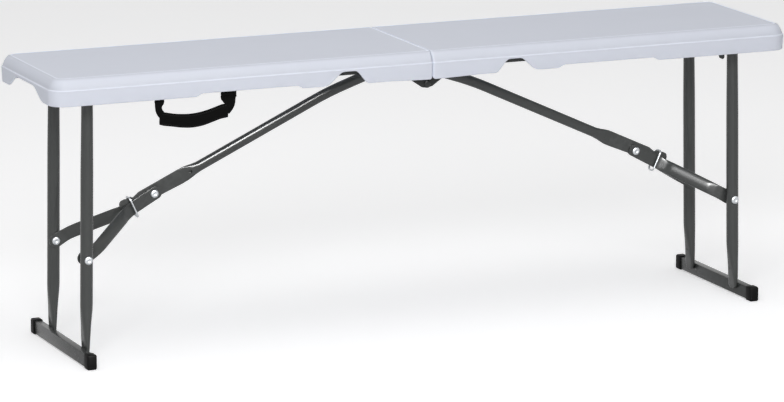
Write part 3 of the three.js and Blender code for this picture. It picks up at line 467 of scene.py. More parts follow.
archTable = [(108.3, 0), (124.8, 20.7), (149.45, 20.7), (168.45, 3), (175.5, 0)]
runTable = [(213.5, 0), (219.5, 4.7), (375.5, 4.7), (381.5, 0)]
notchTable = [(43, 19), (73.5, 0)]
seamFoot = [(12, -1.8), (75, 0)]


def panelColumns():
    # Each column round the edge: a function from inset and seam inset to x and y, and how far
    # the skirt's foot is raised there.
    shape, steps = panelShape, panelSteps
    halfLength, halfWidth = bench["halfLength"], bench["halfWidth"]
    seamX, seamCorner = shape["seamGap"], shape["seamCorner"]

    def corner(signY, turn, outer):
        def at(inset, seamInset):
            radius = max(shape["cornerRadius"] - inset, seamCorner) if outer else seamCorner
            reach = radius * (1 - math.cos(turn))
            x = halfLength - inset - reach if outer else seamX + seamInset + reach
            return x, signY * (halfWidth - inset - radius + math.sin(turn) * radius)
        return at

    def along(signY, x):
        return lambda inset, seamInset: (x, signY * (halfWidth - inset))

    def end(y):
        return lambda inset, seamInset: (halfLength - inset, y)

    def seam(share):
        return lambda inset, seamInset: (seamX + seamInset, (halfWidth - inset - seamCorner) * share)

    def footAt(x):
        return sum(softLine(table, x, shape["archBlur"])[0] for table in (archTable, runTable, seamFoot))

    def seamColumns(signY, turns):
        return [(corner(signY, turn, False), seamRise - seamRound * math.sin(turn)) for turn in turns]

    seamRound = shape["seamRound"]
    seamRise = lineAt(seamFoot, 0)[0] + seamRound
    runs = spaced(steps["start"], halfLength - shape["cornerRadius"], steps["long"])[:-1]
    endY = halfWidth - shape["cornerRadius"]
    outerTurns = spaced(0, quarter, quarter / steps["corner"])
    seamTurns = spaced(0, quarter, quarter / steps["seamCorner"])
    columns = [(along(1, x), footAt(x)) for x in runs]
    columns += [(corner(1, turn, True), 0) for turn in reversed(outerTurns)]
    columns += [(end(y), softLine(notchTable, abs(y), shape["notchBlur"])[0])
                for y in spaced(endY, -endY, steps["end"])[1:-1]]
    columns += [(corner(-1, turn, True), 0) for turn in outerTurns]
    columns += [(along(-1, x), footAt(x)) for x in reversed(runs)]
    columns += seamColumns(-1, reversed(seamTurns))
    columns += [(seam(share), seamRise) for share in spaced(-1, 1, steps["seam"])[1:-1]]
    columns += seamColumns(1, seamTurns)
    return columns


def panelLoops():
    shape, top = panelShape, bench["top"]
    depth, skirtTop = top - bench["skirt"], shape["skirtTop"]
    wall, fillet = shape["wall"], shape["innerFillet"]
    columns = panelColumns()

    def level(inset, seamInset, z):
        return [Vector((*place(inset, seamInset), z)) for place, _ in columns]

    def skirtLoop(share, turn=0, inner=False):
        loop = []
        for place, raised in columns:
            foot = depth - raised
            lip = min(shape["lip"], (foot - skirtTop) * shape["lipShare"])
            roll = lip * (1 - math.cos(turn))
            drop = skirtTop + (foot - lip - skirtTop) * share + math.sin(turn) * lip
            slope = shape["footInset"] * max(0, drop - skirtTop) / (depth - skirtTop)
            insets = (wall - roll, wall - roll) if inner else (slope + roll, roll)
            loop.append(Vector((*place(*insets), top - drop)))
        return loop

    turns = [quarter * k / panelSteps["round"] for k in range(panelSteps["round"] + 1)]
    loops = [level(inset, seamInset, top - drop) for inset, drop, seamInset, _ in rimRows]
    loops += [skirtLoop(share) for share in (0.2, 0.4, 0.6, 0.8, 1)]
    loops += [skirtLoop(1, turn) for turn in turns[1:]]
    loops += [skirtLoop(1, turn, inner=True) for turn in reversed(turns[1:])]
    insideTop = bench["ceiling"] - fillet
    loops.append([Vector((*place(wall, wall), min(insideTop, bench["skirt"] + raised + 2 * shape["lip"])))
                  for place, raised in columns])
    for turn in turns:
        inset = wall + fillet * (1 - math.cos(turn))
        loops.append(level(inset, inset, insideTop + math.sin(turn) * fillet))
    return loops


def coneDown(bm, x, y, fromZ, toZ, lowRadius, highRadius):
    ends = ((fromZ, lowRadius), (toZ, highRadius))
    skin(bm, [[Vector((x + a, y + b, z)) for a, b in circle(24, radius)] for z, radius in ends])


# The channel holds from x, to x, half width and top, and the radii are at the mouth and the tip.
undersideCuts = {
    "channel": (24, 510.67, 17, 432), "channelRound": 2, "mouth": 2,
    "dimples": [75, 170, 265, 360, 455], "dimpleRow": 50, "dimpleTop": 433.5, "dimpleRadii": (8, 4.5),
    "screws": [52, 478], "screwRow": 111, "screwTop": 430.8, "screwRadii": (2.3, 2.3),
}


def undersideCutter(sign):
    cuts = undersideCuts
    bm = bmesh.new()
    low = bench["ceiling"] - cuts["mouth"]
    fromX, toX, halfY, topZ = cuts["channel"]
    plateAlongY(bm, [(fromX, low), (toX, low), (toX, topZ), (fromX, topZ)], -halfY, halfY)
    softenEdges(bm, cuts["channelRound"], 3)
    for part in ("dimple", "screw"):
        for sideways in rows.values():
            for x in cuts[part + "s"]:
                coneDown(bm, x, sideways * cuts[part + "Row"], low, cuts[part + "Top"], *cuts[part + "Radii"])
    return newPiece("underside cutter", sized(bm, x=sign), panelPlastic)


def seatPanel(side, sign):
    shape = panelShape
    highlightFrom, highlightTo = shape["seamHighlightSpan"]
    bm = bmesh.new()
    # Each vertex takes its row's painted highlight or painted shade.
    tone = bm.verts.layers.float.new("rim painted light")
    for i, row in enumerate(skin(bm, panelLoops())):
        value = rimRows[i][3] if i < len(rimRows) else 0
        for vert in row:
            # Near the seam the value rises: a painted highlight along the seam's rounded edge.
            vert[tone] = value + (shape["seamHighlight"] if highlightFrom < vert.co.x < highlightTo else 0)
    piece = newPiece(side + "_moulded_seat", sized(bm, x=sign), panelPlastic)
    carved(piece, undersideCutter(sign))
    seat(piece, side + "_half", "panel_plastic", side + "_seat_panel")


for side, sign in sides.items():
    seatPanel(side, sign)
print("seat panels made")


# Steel under the seat: rails, hinge leaves and leg brackets with soft pressed edges, in the darker coat that
# paints the shade under the seat.
steelEdges = {"rail": 1.1, "hinge_leaf": 0.5, "leg_bracket": 0.5}
for side in sides:
    for part, edge in steelEdges.items():
        for row in rows:
            node = f"{side}_{row}_{part}"
            seat(softCopy(node, node + "_steel", shadedCoat, edge), side + "_half", "painted_steel", node)

# Turned pieces along y: cross tube, brace rod and hinge pins, as (radius, y) pairs.
turnedShapes = {
    "crossTube": [(6.5, 115), (3.5, 115), (3.5, 121.3), (5, 121.3), (5, 116.5), (7.2, 116.5), (8, 115.6)],
    "rodRadius": 4, "rodEdge": 0.6, "pinInner": 99.6, "pinOuter": 105.5, "pinRadius": 3, "headRadius": 5.5,
    "headHeight": 2, "headCurve": [(1, 0), (0.95, 0.4), (0.75, 0.8), (0.45, 0.97), (0, 1)],
}


def turnedPiece(name, profile, pivot, material, body, node, x=1, y=1):
    # The profile closes on itself.
    centreX, centreZ = pivots[pivot]
    loops = [[Vector((centreX + c * r, at, centreZ + s * r)) for r, at in profile] for c, s in circle(48)]
    bm = bmesh.new()
    skin(bm, loops, closed=True)
    bmesh.ops.remove_doubles(bm, verts=bm.verts, dist=1e-4)
    seat(newPiece(name, sized(bm, x, y), material), body, "painted_steel", node)


def bothEnds(profile):
    return profile + [(r, -y) for r, y in reversed(profile)]


def crossTube(side, sign):
    turnedPiece(side + "_leg_cross_tube_steel", bothEnds(turnedShapes["crossTube"]), "leg", powderCoat,
                side + "_legs", side + "_leg_cross_tube", x=sign)


def braceRod(side, sign):
    low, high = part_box(side + "_brace_rod")
    half, radius, edge = high[1] / mm, turnedShapes["rodRadius"], turnedShapes["rodEdge"]
    profile = bothEnds([(0, half), (radius - edge, half), (radius, half - edge)])
    turnedPiece(side + "_brace_rod_steel", profile, "brace", powderCoat, side + "_half", side + "_brace_rod",
                x=sign)


def hingePin(row, sign):
    shape = turnedShapes
    inner, outer, shank = shape["pinInner"], shape["pinOuter"], shape["pinRadius"]
    head = [(r * shape["headRadius"], h * shape["headHeight"]) for r, h in shape["headCurve"]]
    profile = [(r, inner - h) for r, h in reversed(head)] + [(shank, inner), (shank, outer)]
    profile += [(r, outer + h) for r, h in head]
    turnedPiece(row + "_hinge_rivet", profile, "hinge", shadedCoat, "hinge_pins", row + "_hinge_pin", y=sign)


for side, sign in sides.items():
    crossTube(side, sign)
    braceRod(side, sign)
for row, sign in rows.items():
    hingePin(row, sign)
print("rails, leaves, brackets and tubes made")


# Legs: round tube pressed flat where it meets the foot bar. Each vent holds y, z, from x and to x.
legShape = {
    "y": 74.75, "splay": 0.018, "top": 401.2, "bottom": 11.5, "footRound": 8, "flatX": 545.7,
    "flatTo": 22, "roundFrom": 84, "bendBlur": 8, "sizeBlur": 5, "saddle": 8.2, "holeRadius": 3.3,
    "cut": (55, 95), "ventRadius": 1.7, "vents": [(74.75, 44, -9.5, 0), (76.5, 21.8, 1, 9.5)],
}
# Place along the leg, half thickness, half width and squareness.
legSizes = [(11.5, 3, 12, 5), (20, 3, 12, 5), (52, 6.3, 10.9, 2.8), (84, 9.6, 9.6, 2), (291, 9.6, 9.6, 2),
            (401.2, 8.7, 8.7, 2)]


def legCentre(z):
    shape = legShape
    onLine = pivots["leg"][0] + (pivots["leg"][1] - z) * shape["splay"]
    share = softLine([(shape["flatTo"], 0), (shape["roundFrom"], 1)], z, shape["bendBlur"])[0]
    return Vector((shape["flatX"] + (onLine - shape["flatX"]) * share, shape["y"], z))


def legSize(z):
    thick, wide, square = softLine(legSizes, z, legShape["sizeBlur"])
    foot = legShape["footRound"]
    return thick, wide * roundEnd(legShape["bottom"] + foot - z, foot + 0.3, 0.04), square


def legPiece(side, row, signX, signY):
    shape = legShape
    bm, cut = bmesh.new(), bmesh.new()
    low = [shape["bottom"] + rise for rise in (0, 0.4, 1, 2, 3.3, 5, 8)]
    tubeAlong(bm, low + spaced(23, 113, 3) + spaced(121, shape["top"], 12), legCentre, legSize)
    barAlongY(cut, shape["saddle"], *shape["cut"], *pivots["leg"])
    barAlongY(cut, shape["holeRadius"], *shape["cut"], *pivots["pin"])
    for y, z, inner, outer in shape["vents"]:
        barAlongX(cut, shape["ventRadius"], shape["flatX"] + inner, shape["flatX"] + outer, y, z, 20)
    cutSteel(f"{side}_{row}_leg_tube", bm, cut, side + "_legs", f"{side}_{row}_leg", signX, signY)


footEdges = {"bar": (0.9, 3), "cap": (1.4, 4)}    # width and steps of each rounded edge

for side, signX in sides.items():
    for row, signY in rows.items():
        legPiece(side, row, signX, signY)
    body = side + "_legs"
    bar = side + "_foot_bar"
    # The foot bar takes the darker coat: painted shade.
    seat(softCopy(bar, bar + "_tube", shadedCoat, *footEdges["bar"]), body, "painted_steel", bar)
    for row in rows:
        node = side + "_" + row + "_foot_cap"
        seat(softCopy(node, node + "_moulding", capPlastic, *footEdges["cap"]), body, "cap_plastic", node)
print("legs and feet made")


# Upper braces: oval tube, pressed flat at both ends, with a shaped tongue past the knee.
braceShape = {
    "flatHigh": 13.9, "flatLow": 9.3, "flatHalf": 1.3, "flatTo": 58, "tubeFrom": 82, "tubeRise": 1.9,
    "bend": (121.0, 363.4), "bendBlur": 24, "tongue": 57, "tongueFrom": 50.2, "tongueEdge": 0.4,
    "holeAt": 65.5, "holeRadius": 2.8, "eye": 8, "rodHole": 4.3, "rivetHole": 3.3, "cut": 12,
}
# Shares of the tongue's length, and of the flat's height above or below the knee.
tongueOutline = [(0.36, 1), (0.56, 0.8), (0.62, 1), (0.745, 1), (0.775, 1.06), (0.83, 1.1), (0.92, 1.08),
                 (0.98, 0.84), (1, 0.38), (0.93, -0.21), (0.7, -0.59)]


def sidePoint(x, z):
    return Vector((x, 0, z))


braceOut = sidePoint(math.cos(pivots["slope"]), -math.sin(pivots["slope"]))
braceUp = sidePoint(math.sin(pivots["slope"]), math.cos(pivots["slope"]))
kneePoint, rodPoint, pinPoint = [sidePoint(*pivots[name]) for name in ("knee", "brace", "pin")]
tubeRise = braceUp * braceShape["tubeRise"]
flatRise = (braceShape["flatHigh"] - braceShape["flatLow"]) / 2 - braceShape["tubeRise"]
bendPoint = sidePoint(*braceShape["bend"]) + tubeRise
lowerRun = (bendPoint - kneePoint - tubeRise).length
upperRun = (rodPoint - bendPoint).length
rodAt = lowerRun + upperRun
eyeEnd = rodAt + braceShape["eye"]
# Place along the brace from the knee, half height, half width and squareness.
braceSizes = [
    (52, 11.6, 1.3, 6), (58, 11.5, 2.08, 4), (66, 10.3, 4.16, 3), (72, 9, 5.4, 2.6), (82, 8, 6.3, 2.4),
    (rodAt - 40, 8, 6.3, 2.4), (rodAt - 27.2, 8.2, 3.78, 3), (rodAt - 16, 8.3, 1.3, 6), (eyeEnd, 8.3, 1.3, 6),
]


def onBrace(out, up):
    return kneePoint + braceOut * out + braceUp * up


def braceCentre(at):
    shape = braceShape

    def place(value):
        if value <= lowerRun:
            return onBrace(-value, shape["tubeRise"])
        return bendPoint.lerp(rodPoint, (value - lowerRun) / upperRun)

    places = [place(at + shape["bendBlur"] * k / 4) for k in range(-4, 5)]
    lift = lineAt([(shape["flatTo"], flatRise), (shape["tubeFrom"], 0)], at, ease=True)[0]
    return sum(places, Vector()) / len(places) + braceUp * lift


def braceSize(at):
    high, wide, square = lineAt(braceSizes, at, ease=True)
    return high * roundEnd(at - rodAt, braceShape["eye"] + 0.1, 0.02), wide, square


def smoothOutline(points, perSpan):
    # A smooth curve through the points, open at both ends.
    ends = [points[0]] + list(points) + [points[-1]]
    curve = []
    for a, b, c, d in zip(ends, ends[1:], ends[2:], ends[3:]):
        for k in range(perSpan):
            t = k / perSpan
            curve.append(tuple(0.5 * (2 * q + (r - p) * t + (2 * p - 5 * q + 4 * r - s) * t * t
                                      + (3 * q - p - 3 * r + s) * t ** 3) for p, q, r, s in zip(a, b, c, d)))
    return curve + [points[-1]]


def upperBrace(side, sign):
    shape = braceShape
    bm, cut = bmesh.new(), bmesh.new()
    ends = [eyeEnd - shape["eye"] * (1 - math.sin(k / 10 * quarter)) for k in range(11)]
    places = spaced(shape["tongueFrom"], 90, 3) + spaced(98, eyeEnd - 44, 8)
    tubeAlong(bm, places + spaced(eyeEnd - 38, eyeEnd - 11, 3) + ends, braceCentre, braceSize, 40)
    hole = onBrace(-shape["holeAt"], shape["tubeRise"] + flatRise / 2)
    barAlongY(cut, shape["rodHole"], -shape["cut"], shape["cut"], *pivots["brace"])
    barAlongY(cut, shape["holeRadius"], *sorted((-sign, shape["cut"] * sign)), hole.x, hole.z)
    cutSteel(side + "_brace_tube", bm, cut, side + "_brace", side + "_upper_brace", x=sign)


def braceTongue(side, sign):
    shape = braceShape
    bm, cut = bmesh.new(), bmesh.new()
    tongue = smoothOutline([(out * shape["tongue"], up * (shape["flatHigh"] if up > 0 else shape["flatLow"]))
                            for out, up in tongueOutline], 5)
    back = -shape["tongueFrom"]
    outline = [onBrace(*at) for at in [(back, shape["flatHigh"])] + tongue + [(back, -shape["flatLow"])]]
    plateAlongY(bm, [(point.x, point.z) for point in outline], -shape["flatHalf"], shape["flatHalf"])
    softenEdges(bm, shape["tongueEdge"], 2, 50)
    barAlongY(cut, shape["rivetHole"], -shape["cut"], shape["cut"], *pivots["knee"])
    cutSteel(side + "_brace_tongue", bm, cut, side + "_brace", side + "_upper_brace", x=sign)


# Arms from the knee to the legs: flat at both ends, oval between.
armShape = {"kneeY": 2.6, "legY": 63.95, "straight": 47, "legStraight": 22, "blur": 12, "kneeEnd": -3,
            "kneeRound": 9, "legRound": 10.5, "kneeCut": (-2, 8), "legCut": (55, 75)}
armLength = (pinPoint - kneePoint).length
armWay = (pinPoint - kneePoint).normalized()
armBend = armLength - armShape["legStraight"]
# Place along the arm, half height, half width and squareness.
armSizes = [
    (47, 10, 1, 6), (55.4, 10, 2, 3), (66, 10.4, 4.6, 2.3), (armBend - 17, 10.4, 4.6, 2.3),
    (armBend - 6, 10.2, 2, 3.4), (armBend, 10, 1, 6), (armLength, 10.8, 1, 6),
]


def armCentre(at):
    table = [(armShape["straight"], armShape["kneeY"]), (armBend, armShape["legY"])]
    return kneePoint + armWay * at + Vector((0, softLine(table, at, armShape["blur"])[0], 0))


def armSize(at):
    high, wide, square = lineAt(armSizes, at, ease=True)
    high *= roundEnd(armShape["kneeEnd"] - at, armShape["kneeRound"] + 0.2, 0.05)
    high *= roundEnd(at - armLength, armShape["legRound"] + 0.1, 0.02)
    return high, wide, square


def armPiece(side, row, signX, signY):
    shape = armShape
    bm, cut = bmesh.new(), bmesh.new()
    start = [shape["kneeEnd"] - shape["kneeRound"] * math.cos(k / 8 * quarter) for k in range(9)]
    end = [armLength + shape["legRound"] * math.sin(k / 10 * quarter) for k in range(11)]
    places = start + spaced(3, 40, 6) + spaced(43, 72, 3) + spaced(78, armBend - 22, 8)
    places += spaced(armBend - 18, armBend + 6, 3) + spaced(armBend + 10, armLength - 4, 5) + end
    tubeAlong(bm, places, armCentre, armSize)
    barAlongY(cut, braceShape["rivetHole"], *shape["kneeCut"], *pivots["knee"])
    barAlongY(cut, braceShape["rivetHole"], *shape["legCut"], *pivots["pin"])
    cutSteel(f"{side}_{row}_arm_tube", bm, cut, side + "_arms", f"{side}_{row}_arm", signX, signY)


for side, signX in sides.items():
    upperBrace(side, signX)
    braceTongue(side, signX)
    for row, signY in rows.items():
        armPiece(side, row, signX, signY)
print("braces and arms made")


# Geometry Nodes: the same shape at every point, and wire along a rounded rectangle.

def newTool(name, inputs):
    tree = bpy.data.node_groups.new(name, "GeometryNodeTree")
    for label, kind in inputs.items():
        tree.interface.new_socket(name=label, in_out="INPUT", socket_type="NodeSocket" + kind)
    tree.interface.new_socket(name="Geometry", in_out="OUTPUT", socket_type="NodeSocketGeometry")
    return tree, tree.nodes.new("NodeGroupInput").outputs


def closeTool(tree, geometry, material):
    whole = addNode(tree, "GeometryNodeRealizeInstances", {"Geometry": geometry})
    inputs = {"Geometry": whole.outputs["Geometry"], "Material": material}
    finished = addNode(tree, "GeometryNodeSetMaterial", inputs)
    addNode(tree, "NodeGroupOutput", {"Geometry": finished.outputs["Geometry"]})
    return tree


def buildRepeats():
    inputs = {"Geometry": "Geometry", "Shape": "Object", "Size": "Float", "Finish": "Material"}
    tree, start = newTool("repeat a shape at points", inputs)
    shape = addNode(tree, "GeometryNodeObjectInfo", {"Object": start["Shape"]})
    turn = tree.nodes.new("GeometryNodeInputNamedAttribute")
    turn.data_type = "FLOAT_VECTOR"
    fill(tree, turn, {"Name": "turn"})
    spin = addNode(tree, "FunctionNodeEulerToRotation", {"Euler": turn.outputs["Attribute"]})
    inputs = {"Points": start["Geometry"], "Instance": shape.outputs["Geometry"],
              "Rotation": spin.outputs["Rotation"], "Scale": start["Size"]}
    copies = addNode(tree, "GeometryNodeInstanceOnPoints", inputs)
    return closeTool(tree, copies.outputs["Instances"], start["Finish"])


def buildWireLoop():
    inputs = {"Geometry": "Geometry", "Width": "Float", "Height": "Float", "Corner": "Float", "Wire": "Float",
              "Finish": "Material"}
    tree, start = newTool("wire loop", inputs)
    outline = addNode(tree, "GeometryNodeCurvePrimitiveQuadrilateral",
                      {"Width": start["Width"], "Height": start["Height"]})
    corners = tree.nodes.new("GeometryNodeFilletCurve")
    corners.mode = "POLY"
    fill(tree, corners, {"Count": 8, "Curve": outline.outputs["Curve"], "Radius": start["Corner"]})
    wire = addNode(tree, "GeometryNodeCurvePrimitiveCircle", {"Resolution": 20, "Radius": start["Wire"]})
    swept = addNode(tree, "GeometryNodeCurveToMesh",
                    {"Curve": corners.outputs["Curve"], "Profile Curve": wire.outputs["Curve"]})
    smooth = addNode(tree, "GeometryNodeSetShadeSmooth", {"Geometry": swept.outputs["Mesh"]})
    return closeTool(tree, smooth.outputs["Geometry"], start["Finish"])


def fromTool(name, carrier, tree, values):
    # Run a tree on a carrier object and keep its result as a plain mesh.
    modifier = carrier.modifiers.new("tool", "NODES")
    modifier.node_group = tree
    for item in tree.interface.items_tree:
        if item.item_type == "SOCKET" and item.in_out == "INPUT" and item.name in values:
            modifier[item.identifier] = values[item.name]
    scene.collection.objects.link(carrier)
    graph = bpy.context.evaluated_depsgraph_get()
    mesh = bpy.data.meshes.new_from_object(carrier.evaluated_get(graph))
    mesh.name = name
    if not mesh.materials:
        mesh.materials.append(values["Finish"])
    bpy.data.objects.remove(carrier)
    piece = bpy.data.objects.new(name, mesh)
    scene.collection.objects.link(piece)
    return piece


repeatTree = buildRepeats()
wireTree = buildWireLoop()


def repeated(name, shape, points, material):
    # points holds (place in millimetres, turn in radians) pairs.
    mesh = bpy.data.meshes.new(name + " points")
    mesh.from_pydata([Vector(place) * mm for place, _ in points], [], [])
    turns = mesh.attributes.new("turn", "FLOAT_VECTOR", "POINT")
    for i, (_, turn) in enumerate(points):
        turns.data[i].vector = turn
    carrier = bpy.data.objects.new(name + " points", mesh)
    return fromTool(name, carrier, repeatTree, {"Shape": shape, "Size": 1.0, "Finish": material})


def turnedShape(name, profile, count=40):
    # A shape turned about z, in millimetres, whose profile starts and ends on the axis.
    bm = bmesh.new()
    skin(bm, [[Vector((c * r, s * r, z)) for r, z in profile] for c, s in circle(count)], closed=True)
    bmesh.ops.remove_doubles(bm, verts=bm.verts, dist=1e-4)
    return newPiece(name, sized(bm), zincPlate, 40)


# The y values are the heads' undersides, and the knee's rivet has a head at both ends.
rivetShape = {"radius": 3, "legLength": 19, "armLength": 2.3, "kneeLength": 7.8, "legY": 84.55, "armY": 62.65,
              "head": [(0, 1.15), (1.2, 1.2), (1.9, 1.55), (2.6, 1.85), (3.6, 1.9), (4.8, 1.6), (5.7, 1.1),
                       (6.2, 0.5), (6.3, 0)]}
screwShape = {"radius": 2, "under": 412.9, "top": 430.5,
              "head": [(0, 0.9), (1.1, 0.9), (1.5, 1.9), (2.7, 2.0), (3.6, 1.5), (4, 0.7), (4, 0)]}


def fastener(name, shape, length, twoHeads=False):
    # The head stands on z = 0 and the shank goes down from it.
    head, radius = shape["head"], shape["radius"]
    profile = head + [(radius, 0), (radius, -length)]
    profile += [(r, -length - z) for r, z in reversed(head)] if twoHeads else [(0, -length)]
    return turnedShape(name, profile)


facingFar, facingNear, facingDown = (-quarter, 0, 0), (quarter, 0, 0), (math.pi, 0, 0)
legRivet = fastener("leg rivet shape", rivetShape, rivetShape["legLength"])
armRivet = fastener("arm rivet shape", rivetShape, rivetShape["armLength"])
kneeRivet = fastener("knee rivet shape", rivetShape, rivetShape["kneeLength"], twoHeads=True)
railScrew = fastener("rail screw shape", screwShape, screwShape["top"] - screwShape["under"])


def fasten(name, shape, points, body, *nodes):
    seat(repeated(name, shape, points, zincPlate), body, "zinc", *nodes)


def sideFasteners(side, sign):
    pinX, pinZ = pivots["pin"][0] * sign, pivots["pin"][1]
    kneeX, kneeZ = pivots["knee"][0] * sign, pivots["knee"][1]
    pinRivets = (("leg", legRivet, facingNear, facingFar), ("arm", armRivet, facingFar, facingNear))
    for part, shape, *turns in pinRivets:
        y = rivetShape[part + "Y"]
        heads = [((pinX, y * row, pinZ), turn) for row, turn in zip(rows.values(), turns)]
        nodes = [f"{side}_{row}_{part}_rivet" for row in rows]
        fasten(f"{side}_{part}_rivets", shape, heads, f"{side}_{part}s", *nodes)
    kneeHead = ((kneeX, -rivetShape["kneeLength"] / 2, kneeZ), facingNear)
    fasten(side + "_knee_rivets", kneeRivet, [kneeHead], side + "_brace", side + "_knee_rivet")
    heads = [((x * sign, undersideCuts["screwRow"] * row, screwShape["under"]), facingDown)
             for row in rows.values() for x in undersideCuts["screws"]]
    nodes = [f"{side}_{row}_{place}_rail_screw" for row in rows for place in ("inner", "outer")]
    fasten(side + "_rail_screws", railScrew, heads, side + "_half", *nodes)


for side, sign in sides.items():
    sideFasteners(side, sign)
for shape in (legRivet, armRivet, kneeRivet, railScrew):
    bpy.data.objects.remove(shape)

ringShape = {"halfWidth": 8.4, "halfHeight": 17.0, "corner": 5.4, "wire": 1.4}


def lockRing(side, sign):
    shape = ringShape
    carrier = bpy.data.objects.new("wire carrier", bpy.data.meshes.new("wire carrier"))
    values = {"Width": 2 * shape["halfWidth"] * mm, "Height": 2 * shape["halfHeight"] * mm,
              "Corner": shape["corner"] * mm, "Wire": shape["wire"] * mm, "Finish": zincPlate}
    piece = fromTool(side + "_lock_ring_wire", carrier, wireTree, values)
    low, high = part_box(side + "_lock_ring")
    middle = (Vector(low) + Vector(high)) / 2
    out = Vector((braceOut.x * sign, 0, braceOut.z))
    up = Vector((braceUp.x * sign, 0, braceUp.z))
    # The outline lies in x and y: x goes across the bench and y up the brace's side.
    turn = Matrix((Vector((0, 1, 0)), up, out)).transposed()
    piece.data.transform(Matrix.Translation(middle) @ turn.to_4x4())
    bm = bmesh.new()
    bm.from_mesh(piece.data)
    bmesh.ops.remove_doubles(bm, verts=bm.verts, dist=1e-6)
    bmesh.ops.recalc_face_normals(bm, faces=bm.faces)
    bm.to_mesh(piece.data)
    bm.free()
    seat(piece, side + "_ring", "zinc", side + "_lock_ring")


for side, sign in sides.items():
    lockRing(side, sign)
print("rivets, screws and lock rings made")


# Carrying handle: two straps of webbing sewn into a folded sleeve, modelled directly.
handleShape = {
    "middle": -387, "span": 111.6, "drop": 45, "topZ": 396, "y": -118.3, "webHalf": 11.5, "strap": 1.5,
    "sleeve": 3.0, "stitchStep": 3.4, "stitchInset": 2.6, "stitchMargin": 3,
}
# Shares of the span and the drop, and of the webbing's half width as it shows.
innerStrap = [(0.512, 0, 1.07), (0.512, 0.03, 1.06), (0.519, 0.1, 0.93), (0.529, 0.244, 0.72),
              (0.513, 0.4, 0.55), (0.484, 0.555, 0.35)]
outerStrap = [(-0.474, 0, 0.64), (-0.474, 0.03, 0.62), (-0.483, 0.1, 0.53), (-0.487, 0.207, 0.45),
              (-0.478, 0.313, 0.46), (-0.452, 0.422, 0.49), (-0.421, 0.51, 0.47)]
sleeveRun = [(-0.467, 0.588, 0.76), (-0.405, 0.598, 0.87), (-0.287, 0.653, 0.85), (-0.157, 0.701, 0.89),
             (-0.025, 0.72, 0.92), (0.112, 0.69, 0.92), (0.247, 0.611, 0.88), (0.363, 0.527, 0.88),
             (0.451, 0.481, 0.93), (0.497, 0.483, 0.88)]


def clothStrip(bm, run, half, perSpan=8, square=7):
    # A flat strip along a smooth run of (across, down, half width) shares.
    shape = handleShape
    curve = smoothOutline(run, perSpan)
    places = [Vector((shape["middle"] + a * shape["span"], shape["y"], shape["topZ"] - d * shape["drop"]))
              for a, d, _ in curve]
    layer = bm.loops.layers.uv.verify()
    loops, marks = [], []
    length = 0
    for i, (place, (_, _, wide)) in enumerate(zip(places, curve)):
        before, after = places[max(i - 1, 0)], places[min(i + 1, len(places) - 1)]
        length += (place - before).length
        way = (after - before).normalized()
        side = Vector((-way.z, 0, way.x))
        ring = oval(32, square, half, wide * shape["webHalf"])
        loops.append([place + Vector((0, c, 0)) + side * s for c, s in ring])
        marks.append([(s + (c if abs(c) < half * 0.98 else 0), length) for c, s in ring])
    rows = skin(bm, loops)
    where = {v: mark for row, line in zip(rows, marks) for v, mark in zip(row, line)}
    for face in {f for row in rows for v in row for f in v.link_faces}:
        for corner in face.loops:
            corner[layer].uv = where[corner.vert]
    return places, curve


def clothPiece(name, bm):
    piece = newPiece(name, sized(bm), webbing, 50)
    piece.data.uv_layers[0].name = "cloth"
    return piece


def stitchPoints(places, curve, side):
    # Even steps along the sleeve, just inside one edge of its near face.
    shape = handleShape
    margin = shape["stitchMargin"]
    points, walked, due = [], 0, shape["stitchStep"]
    for i in range(1, len(places) - 1):
        way = (places[i + 1] - places[i - 1]).normalized()
        walked += (places[i] - places[i - 1]).length
        if walked < due or not margin <= i < len(places) - margin:
            continue
        due += shape["stitchStep"]
        up = Vector((-way.z, 0, way.x))
        reach = curve[i][2] * shape["webHalf"] - shape["stitchInset"]
        place = places[i] + up * reach * side + Vector((0, -shape["sleeve"], 0))
        points.append((tuple(place), (0, math.atan2(-way.z, way.x), 0)))
    return points


def strapRoll(bm, run):
    # The strap's top is round where it bends against its fixed end.
    shape = handleShape
    across, _, wide = run[0]
    centre, reach = shape["middle"] + across * shape["span"], wide * shape["webHalf"]
    layer = bm.loops.layers.uv.verify()
    rolled = barAlongX(bm, shape["strap"], centre - reach, centre + reach, shape["y"], shape["topZ"], 24)
    for row in rolled:
        for i, vert in enumerate(row):
            for corner in vert.link_loops:
                corner[layer].uv = (vert.co.x, i * 0.4)


bm = bmesh.new()
for run in (innerStrap, outerStrap):
    clothStrip(bm, run, handleShape["strap"])
    strapRoll(bm, run)
places, curve = clothStrip(bm, sleeveRun, handleShape["sleeve"], 14, 4)
sleeve = clothPiece("handle_webbing_loop", bm)
seat(sleeve, "handle", "webbing", "handle_loop")

stitchBody = [(0, -1.25), (0.3, -1.1), (0.42, -0.6), (0.42, 0.6), (0.3, 1.1), (0, 1.25)]
stitchShape = turnedShape("stitch shape", stitchBody, 8)
stitchShape.data.transform(Matrix.Rotation(math.pi / 2, 4, "Y"))
points = stitchPoints(places, curve, 1) + stitchPoints(places, curve, -1)
stitches = repeated("handle_sleeve_stitches", stitchShape, points, thread)
bpy.data.objects.remove(stitchShape)
seat(stitches, "handle", "webbing")


def handleAnchor(node):
    # The strap's fixed end beside the rail, up to the seat.
    shape = handleShape
    low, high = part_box(node)
    wide, thick = [(high[i] - low[i]) / mm / 2 for i in (0, 1)]
    across = ((high[0] + low[0]) / 2 / mm - shape["middle"]) / shape["span"]
    run = [(across, (shape["topZ"] - z / mm) / shape["drop"], wide / shape["webHalf"])
           for z in (high[2], low[2])]
    bm = bmesh.new()
    clothStrip(bm, run, thick)
    seat(clothPiece(node + "_webbing", bm), "left_half", "webbing", node)


for node in ("inner_handle_anchor", "outer_handle_anchor"):
    handleAnchor(node)
print("handle made")


